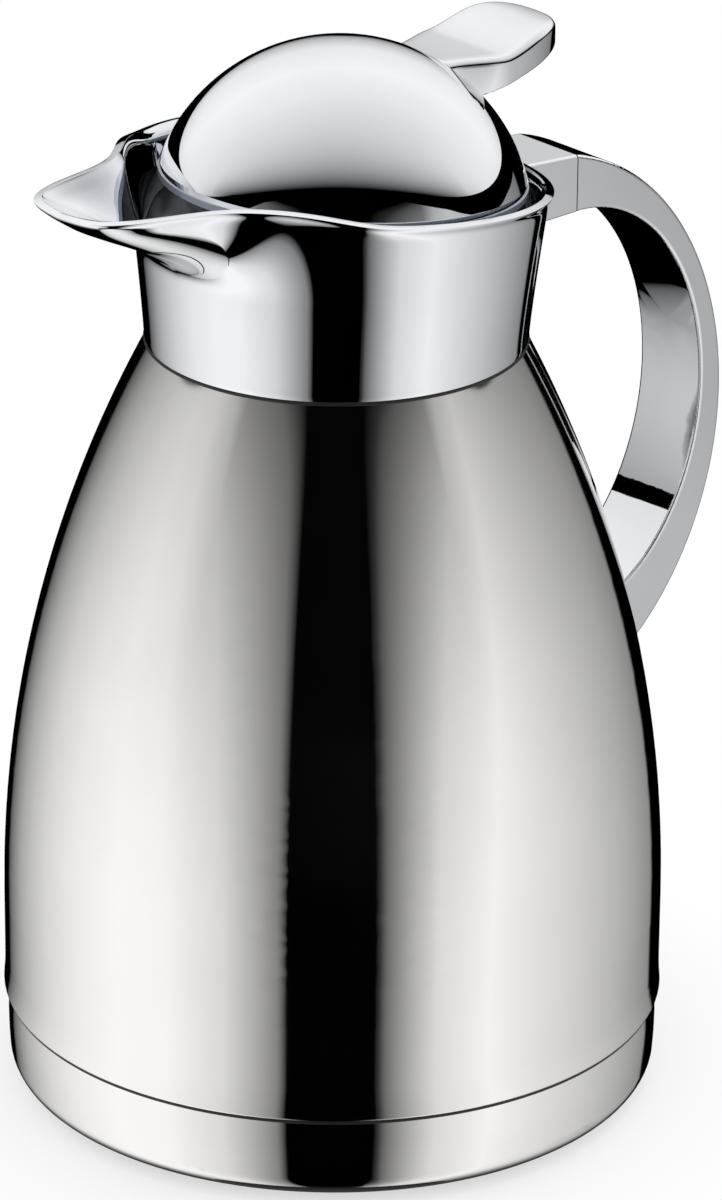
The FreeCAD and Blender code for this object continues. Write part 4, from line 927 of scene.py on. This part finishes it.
def screw_tree():
    """Cylinder-head screw that stands on its head, with a cross recess cut into the head from below."""
    sizes = ("x", "z", "head", "head_height", "shank", "length", "recess", "span", "depth")
    tree, given = geometry_tree("cross_screw", sizes)
    values = work_out(tree, SCREW_RULE, {name: given[name] for name in sizes})
    screw = node(
        tree, "GeometryNodeMeshCylinder",
        {"Vertices": HEAD_COLUMNS, "Radius": given["head"], "Depth": given["head_height"]},
    ).outputs["Mesh"]
    bottom = node(tree, "ShaderNodeCombineXYZ", {"Z": values["bottom"]}).outputs["Vector"]
    arm = node(
        tree, "ShaderNodeCombineXYZ", {"X": given["span"], "Y": given["recess"], "Z": values["through"]}
    ).outputs["Vector"]
    slot = node(tree, "GeometryNodeMeshCube", {"Size": arm}).outputs["Mesh"]
    for turn in (0.0, math.pi / 2):
        turned = node(
            tree, "GeometryNodeTransform",
            {"Geometry": slot, "Translation": bottom, "Rotation": (0, 0, turn)},
        ).outputs["Geometry"]
        screw = node(tree, "GeometryNodeMeshBoolean", {"Mesh 1": screw, "Mesh 2": turned}).outputs["Mesh"]
    shank = node(
        tree, "GeometryNodeMeshCylinder",
        {"Vertices": SHANK_COLUMNS, "Radius": given["shank"], "Depth": given["length"]},
    ).outputs["Mesh"]
    above = node(tree, "ShaderNodeCombineXYZ", {"Z": values["shank_middle"]}).outputs["Vector"]
    raised = node(
        tree, "GeometryNodeTransform", {"Geometry": shank, "Translation": above}
    ).outputs["Geometry"]
    whole = node(tree, "GeometryNodeJoinGeometry", {"Geometry": [screw, raised]}).outputs["Geometry"]
    place = node(tree, "ShaderNodeCombineXYZ", {"X": given["x"], "Z": given["z"]}).outputs["Vector"]
    placed = node(
        tree, "GeometryNodeTransform", {"Geometry": whole, "Translation": place}
    ).outputs["Geometry"]
    end_tree(tree, placed, given["Finish"], rounded=False)
    return tree


def make_screw(name, tree, standing_for, sizes):
    """Cross-recess screw in the place of one of the handle's screws."""
    low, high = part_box(standing_for)
    screw = grow(
        name, tree, x=(low[0] + high[0]) / 2, z=low[2] + sizes.screw_head / 2, head=(high[0] - low[0]) / 2,
        head_height=sizes.screw_head, shank=sizes.screw_shank, length=high[2] - low[2] - sizes.screw_head,
        recess=sizes.recess, span=sizes.recess_span, depth=sizes.recess_depth,
        Finish=finish_of(standing_for),
    )
    return settle(screw)


def make_camera():
    """Camera at the photograph's place, looking down at the jug with a slight roll."""
    data = bpy.data.cameras.new("camera")
    data.sensor_fit = "VERTICAL"
    data.sensor_height = SENSOR
    data.lens = FOCAL_PX / IMAGE_HEIGHT_PX * SENSOR
    level = Vector((math.sin(VIEW_TURN), math.cos(VIEW_TURN), 0))
    look = level * math.cos(VIEW_PITCH) - Vector((0, 0, math.sin(VIEW_PITCH)))
    right = Vector((math.cos(VIEW_TURN), -math.sin(VIEW_TURN), 0))
    up = right.cross(look)
    side = right * math.cos(VIEW_ROLL) + up * math.sin(VIEW_ROLL)
    top = up * math.cos(VIEW_ROLL) - right * math.sin(VIEW_ROLL)
    camera = new_piece("camera", data)
    camera.matrix_world = Matrix.Translation(VIEW_PLACE) @ Matrix((side, top, -look)).transposed().to_4x4()
    bpy.context.scene.camera = camera


def sheet_light(sheet, turn):
    """Brightness of a lit sheet at a turn inside its edges."""
    reach, bend = sheet["falls"][turn > sheet["peak"]]
    return sheet["level"] * (1 - (abs(turn - sheet["peak"]) / reach) ** bend)


def sheet_stops(sheet, first, last, steps=7, softness=1.2):
    """Ramp stops for a lit sheet with soft edges, on a ramp that goes from first to last."""
    low, high = sheet["edges"]
    turns = [low + (high - low) * i / steps for i in range(steps + 1)]
    turns[0] += softness
    turns[-1] -= softness
    lit = [(turn, sheet_light(sheet, turn)) for turn in turns]
    levels = [(low - softness, 0.0)] + lit + [(high + softness, 0.0)]
    return [((turn - first) / (last - first), grey(max(level, 0.0))) for turn, level in levels]


def turned_parts(tree, way):
    """Parts of a direction or place as the camera has them: right, away from it and up."""
    turned = node(tree, "ShaderNodeMapping", {"Vector": way, "Rotation": (0, 0, VIEW_TURN)})
    parts = node(tree, "ShaderNodeSeparateXYZ", {"Vector": turned.outputs["Vector"]}).outputs
    return {"right": parts["X"], "away": parts["Y"], "up": parts["Z"]}


def roof_light(tree, way):
    """Brightness of the roof sheet in a direction; its lower edge arches over the camera."""
    values = work_out(tree, ROOF_RULE, turned_parts(tree, way))
    sheet = node(
        tree, "ShaderNodeValToRGB", {"Fac": values["over_share"]}, stops=sheet_stops(ROOF_SHEET, 0, 180)
    ).outputs["Color"]
    return node(tree, "ShaderNodeMath", {0: sheet, 1: values["edge"]}, operation="MULTIPLY").outputs[0]


def wall_finish():
    """The lit side sheets with the dark gaps before the camera, wider with height, and behind the jug."""
    material = new_material("tent_cloth_lit")
    tree = material.node_tree
    place = node(tree, "ShaderNodeTexCoord").outputs["Object"]
    values = work_out(tree, WALL_RULE, turned_parts(tree, place))
    share = node(
        tree, "ShaderNodeMapRange", {"Value": values["drawn"], "From Min": -math.pi, "From Max": math.pi}
    ).outputs["Result"]
    sides = node(
        tree, "ShaderNodeValToRGB", {"Fac": share},
        stops=sheet_stops(LEFT_SHEET, -180, 180) + sheet_stops(RIGHT_SHEET, -180, 180),
    ).outputs["Color"]
    light = node(tree, "ShaderNodeEmission", {"Color": sides, "Strength": values["fade"]}).outputs[0]
    tree.links.new(light, tree.nodes["Material Output"].inputs["Surface"])
    return material


def hem_finish():
    """The black hem along the top of the side sheets."""
    material = new_material("tent_hem_black")
    tree = material.node_tree
    dark = node(tree, "ShaderNodeEmission", {"Color": grey(0.0)}).outputs[0]
    tree.links.new(dark, tree.nodes["Material Output"].inputs["Surface"])
    return material


def make_wall(columns=180):
    """The tent's side wall, seen only in polished metal, with its hem."""
    mesh = bmesh.new()
    rings = []
    for i in range(columns):
        turn = 2 * math.pi * i / columns
        around = abs((turn + math.pi) % (2 * math.pi) - math.pi)
        top = WALL_TOP + WALL_RISE * math.exp(-((around / WALL_SPREAD) ** WALL_BEND))
        x = WALL_RADIUS * math.sin(turn - VIEW_TURN)
        y = -WALL_RADIUS * math.cos(turn - VIEW_TURN)
        rings.append([mesh.verts.new((x, y, z)) for z in (WALL_LOW, top - HEM, top)])
    for ring, after in zip(rings, rings[1:] + rings[:1]):
        for band in range(2):
            face = mesh.faces.new((ring[band], ring[band + 1], after[band + 1], after[band]))
            face.material_index = band
    wall = mesh_piece("tent_wall", mesh, wall_finish(), hem_finish())
    wall.visible_camera = False
    wall.visible_diffuse = False
    wall.visible_transmission = False
    wall.visible_shadow = False


def make_world(stage):
    """White to the camera, an even light on dull surfaces, and the tent's sheets in polished ones."""
    world = bpy.data.worlds.new("studio_tent")
    world.use_nodes = True
    tree = world.node_tree
    roof = roof_light(tree, node(tree, "ShaderNodeTexCoord").outputs["Generated"])
    rays = node(tree, "ShaderNodeLightPath").outputs
    lit = node(tree, "ShaderNodeMix", {0: rays["Is Glossy Ray"], 2: stage.light, 3: roof}).outputs[0]
    seen = node(tree, "ShaderNodeMix", {0: rays["Is Camera Ray"], 2: lit, 3: 1.0}).outputs[0]
    tree.links.new(seen, tree.nodes["Background"].inputs["Color"])
    bpy.context.scene.world = world


def floor_finish(stage):
    """White paper, lit near the jug so that its shadow shows and plain white further out.

    Polished metal sees it only close to the foot, where it is in shade; further out it sees the tent.
    """
    material = new_material("paper_white_matt")
    tree = material.node_tree
    shader = tree.nodes["Principled BSDF"]
    shader.inputs["Base Color"].default_value = stage.floor
    shader.inputs["Roughness"].default_value = FLOOR_ROUGHNESS
    place = node(tree, "ShaderNodeTexCoord").outputs["Object"]
    out = node(tree, "ShaderNodeVectorMath", {0: place}, operation="LENGTH").outputs["Value"]
    far = node(
        tree, "ShaderNodeMapRange",
        {"Value": out, "From Min": FLOOR_WHITE[0], "From Max": FLOOR_WHITE[1], "To Min": FLOOR_WHITE_LEAST},
        interpolation_type="SMOOTHSTEP",
    ).outputs["Result"]
    near = node(
        tree, "ShaderNodeMapRange", {"Value": out, "From Min": FLOOR_SHADE[0], "From Max": FLOOR_SHADE[1]},
        interpolation_type="SMOOTHSTEP",
    ).outputs["Result"]
    white = node(tree, "ShaderNodeEmission", {"Color": grey(1.0)}).outputs[0]
    shade = node(tree, "ShaderNodeEmission", {"Color": grey(FLOOR_SHADE_LEVEL)}).outputs[0]
    clear = node(tree, "ShaderNodeBsdfTransparent").outputs[0]
    seen = node(tree, "ShaderNodeMixShader", {0: far, 1: shader.outputs[0], 2: white}).outputs[0]
    mirrored = node(tree, "ShaderNodeMixShader", {0: near, 1: shade, 2: clear}).outputs[0]
    rays = node(tree, "ShaderNodeLightPath").outputs
    both = node(tree, "ShaderNodeMixShader", {0: rays["Is Glossy Ray"], 1: seen, 2: mirrored}).outputs[0]
    tree.links.new(both, tree.nodes["Material Output"].inputs["Surface"])
    return material


def make_floor(stage):
    """Round paper just under the jug."""
    mesh = bmesh.new()
    bmesh.ops.create_circle(
        mesh, cap_ends=True, segments=FLOOR_COLUMNS, radius=FLOOR_RADIUS,
        matrix=Matrix.Translation((0, 0, -FLOOR_DROP)),
    )
    mesh_piece("floor", mesh, floor_finish(stage))


def make_lamp(stage):
    """Soft lamp overhead, for the shadow under the jug; polished metal doesn't show it."""
    data = bpy.data.lights.new("soft_box", "AREA")
    data.shape = "DISK"
    data.size = LAMP_SIZE
    data.energy = stage.lamp
    lamp = new_piece("soft_box", data)
    lamp.location = LAMP_PLACE
    lamp.visible_glossy = False


class JUG_OT_metalwork(bpy.types.Operator):
    """Finishes the barrel, the foot, the handle and the lid's metal"""

    bl_idname = "jug.metalwork"
    bl_label = "Finish the metalwork"

    def execute(self, context):
        colours = context.scene.jug_colours
        dress(polished_steel(colours.steel), "outer_shell", "foot_ring")
        dress(chrome_plate(colours.chrome), "pouring_collar", "handle", "thumb_lever", "lid_dome")
        dress(satin_chrome(colours.chrome), "lid_pan")
        return {"FINISHED"}


class JUG_OT_inner_parts(bpy.types.Operator):
    """Finishes the vessel, the mouldings and the seals inside the jug and its lid"""

    bl_idname = "jug.inner_parts"
    bl_label = "Finish the inner parts"

    def execute(self, context):
        colours = context.scene.jug_colours
        dress(
            satin_steel(colours.vessel), "inner_vessel", "vacuum_bottom", "evacuation_plug", "base_studs",
            "handle_boss",
        )
        dress(sintered_getter(colours.getter), "getter_pill")
        dress(lacquered_trim(colours.trim), "lid_trim_ring")
        dress(black_moulding(colours.black), "base_cover", "neck_nut")
        dress(grey_moulding(colours.grey), "pouring_ring", "stopper_plug")
        dress(foamed_filling(colours.foam), "lid_insulation")
        dress(moulded_rubber(colours.pad), "base_pad")
        dress(silicone_seal(colours.seal), "collar_gasket", "stopper_seal")
        dress(
            zinc_plate(colours.zinc), "base_screws", "lid_screws", "lever_screws", "hinge_pin",
            "handle_screw", "handle_foot_screw",
        )
        return {"FINISHED"}


class JUG_OT_collar(bpy.types.Operator):
    """Builds the pouring collar with its spout, lug and hinge ears"""

    bl_idname = "jug.collar"
    bl_label = "Build the collar"

    def execute(self, context):
        collar = make_collar(context.scene.jug_collar, finish_of("pouring_collar"))
        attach(collar, "jug")
        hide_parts("pouring_collar")
        return {"FINISHED"}


class JUG_OT_lever(bpy.types.Operator):
    """Builds the thumb lever with its hollow and rounded edges"""

    bl_idname = "jug.lever"
    bl_label = "Build the thumb lever"

    def execute(self, context):
        lever = make_lever(context.scene.jug_lever, finish_of("thumb_lever"))
        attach(lever, "lid")
        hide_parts("thumb_lever")
        return {"FINISHED"}


class JUG_OT_seams(bpy.types.Operator):
    """Lays the black beads in the seams under the barrel and under the collar: dark gaskets whose black also
    paints the shade in the seams' gaps
    """

    bl_idname = "jug.seams"
    bl_label = "Lay the seam beads"

    def execute(self, context):
        bead = context.scene.jug_details.seam
        collar = context.scene.jug_collar
        finish = finish_of("base_cover")
        tree = ring_tree()
        low_radius = collar.rim_radius - collar.taper
        # Each bead stands for a black gasket and, with its black, is also painted shade in the gap of its
        # seam.
        seams = {
            "foot_seam_bead_and_shade": (FOOT_RADIUS - FOOT_SEAM_INSET, BARREL_BOTTOM - bead * FOOT_SEAM_DROP),
            "collar_seam_bead_and_shade": (low_radius - bead * COLLAR_SEAM_INSET, collar.low - bead * COLLAR_SEAM_DROP),
        }
        for name, (radius, height) in seams.items():
            seam = grow(
                name, tree, first=radius, pitch=0.0, height=height, bead=bead, count=1, Finish=finish
            )
            settle(seam)
            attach(seam, "jug")
        return {"FINISHED"}


class JUG_OT_pad(bpy.types.Operator):
    """Moulds the rubber pad with its rings under the foot"""

    bl_idname = "jug.pad"
    bl_label = "Mould the anti-slip pad"

    def execute(self, context):
        pad = make_pad(context.scene.jug_details, finish_of("base_pad"))
        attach(pad, "jug")
        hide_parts("base_pad")
        return {"FINISHED"}


class JUG_OT_screws(bpy.types.Operator):
    """Cuts cross recesses into the handle's two screws"""

    bl_idname = "jug.screws"
    bl_label = "Make the handle's screws"

    def execute(self, context):
        tree = screw_tree()
        for name, standing_for in HANDLE_SCREWS.items():
            screw = make_screw(name, tree, standing_for, context.scene.jug_details)
            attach(screw, "jug")
            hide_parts(standing_for)
        return {"FINISHED"}


class JUG_OT_stage(bpy.types.Operator):
    """Sets up the camera, the floor and the light"""

    bl_idname = "jug.stage"
    bl_label = "Set the stage"

    def execute(self, context):
        stage = context.scene.jug_stage
        make_camera()
        make_world(stage)
        make_wall()
        make_floor(stage)
        make_lamp(stage)
        context.scene.view_settings.view_transform = "Standard"
        return {"FINISHED"}


class JUG_PT_panel(bpy.types.Panel):
    """Lists the steps that dress the jug"""

    bl_idname = "JUG_PT_panel"
    bl_label = "Vacuum jug"
    bl_space_type = "VIEW_3D"
    bl_region_type = "UI"
    bl_category = "Jug"

    def draw(self, context):
        for operator in OPERATORS:
            self.layout.operator(operator.bl_idname)


GROUPS = {
    "jug_collar": JugCollarSizes,
    "jug_lever": JugLeverSizes,
    "jug_details": JugDetailSizes,
    "jug_colours": JugColours,
    "jug_stage": JugStage,
}
OPERATORS = (
    JUG_OT_metalwork, JUG_OT_inner_parts, JUG_OT_collar, JUG_OT_lever, JUG_OT_seams, JUG_OT_pad,
    JUG_OT_screws, JUG_OT_stage,
)


def register():
    """Adds the sizes, the operators and the panel."""
    for name, group in GROUPS.items():
        bpy.utils.register_class(group)
        setattr(bpy.types.Scene, name, PointerProperty(type=group))
    for operator in OPERATORS:
        bpy.utils.register_class(operator)
    bpy.utils.register_class(JUG_PT_panel)


def unregister():
    """Takes the panel, the operators and the sizes away again."""
    bpy.utils.unregister_class(JUG_PT_panel)
    for operator in reversed(OPERATORS):
        bpy.utils.unregister_class(operator)
    for name, group in reversed(GROUPS.items()):
        delattr(bpy.types.Scene, name)
        bpy.utils.unregister_class(group)


def main():
    """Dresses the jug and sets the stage."""
    register()
    bpy.ops.jug.metalwork()
    bpy.ops.jug.inner_parts()
    bpy.ops.jug.collar()
    bpy.ops.jug.lever()
    bpy.ops.jug.seams()
    bpy.ops.jug.pad()
    bpy.ops.jug.screws()
    bpy.ops.jug.stage()


if __name__ == "__main__":
    main()
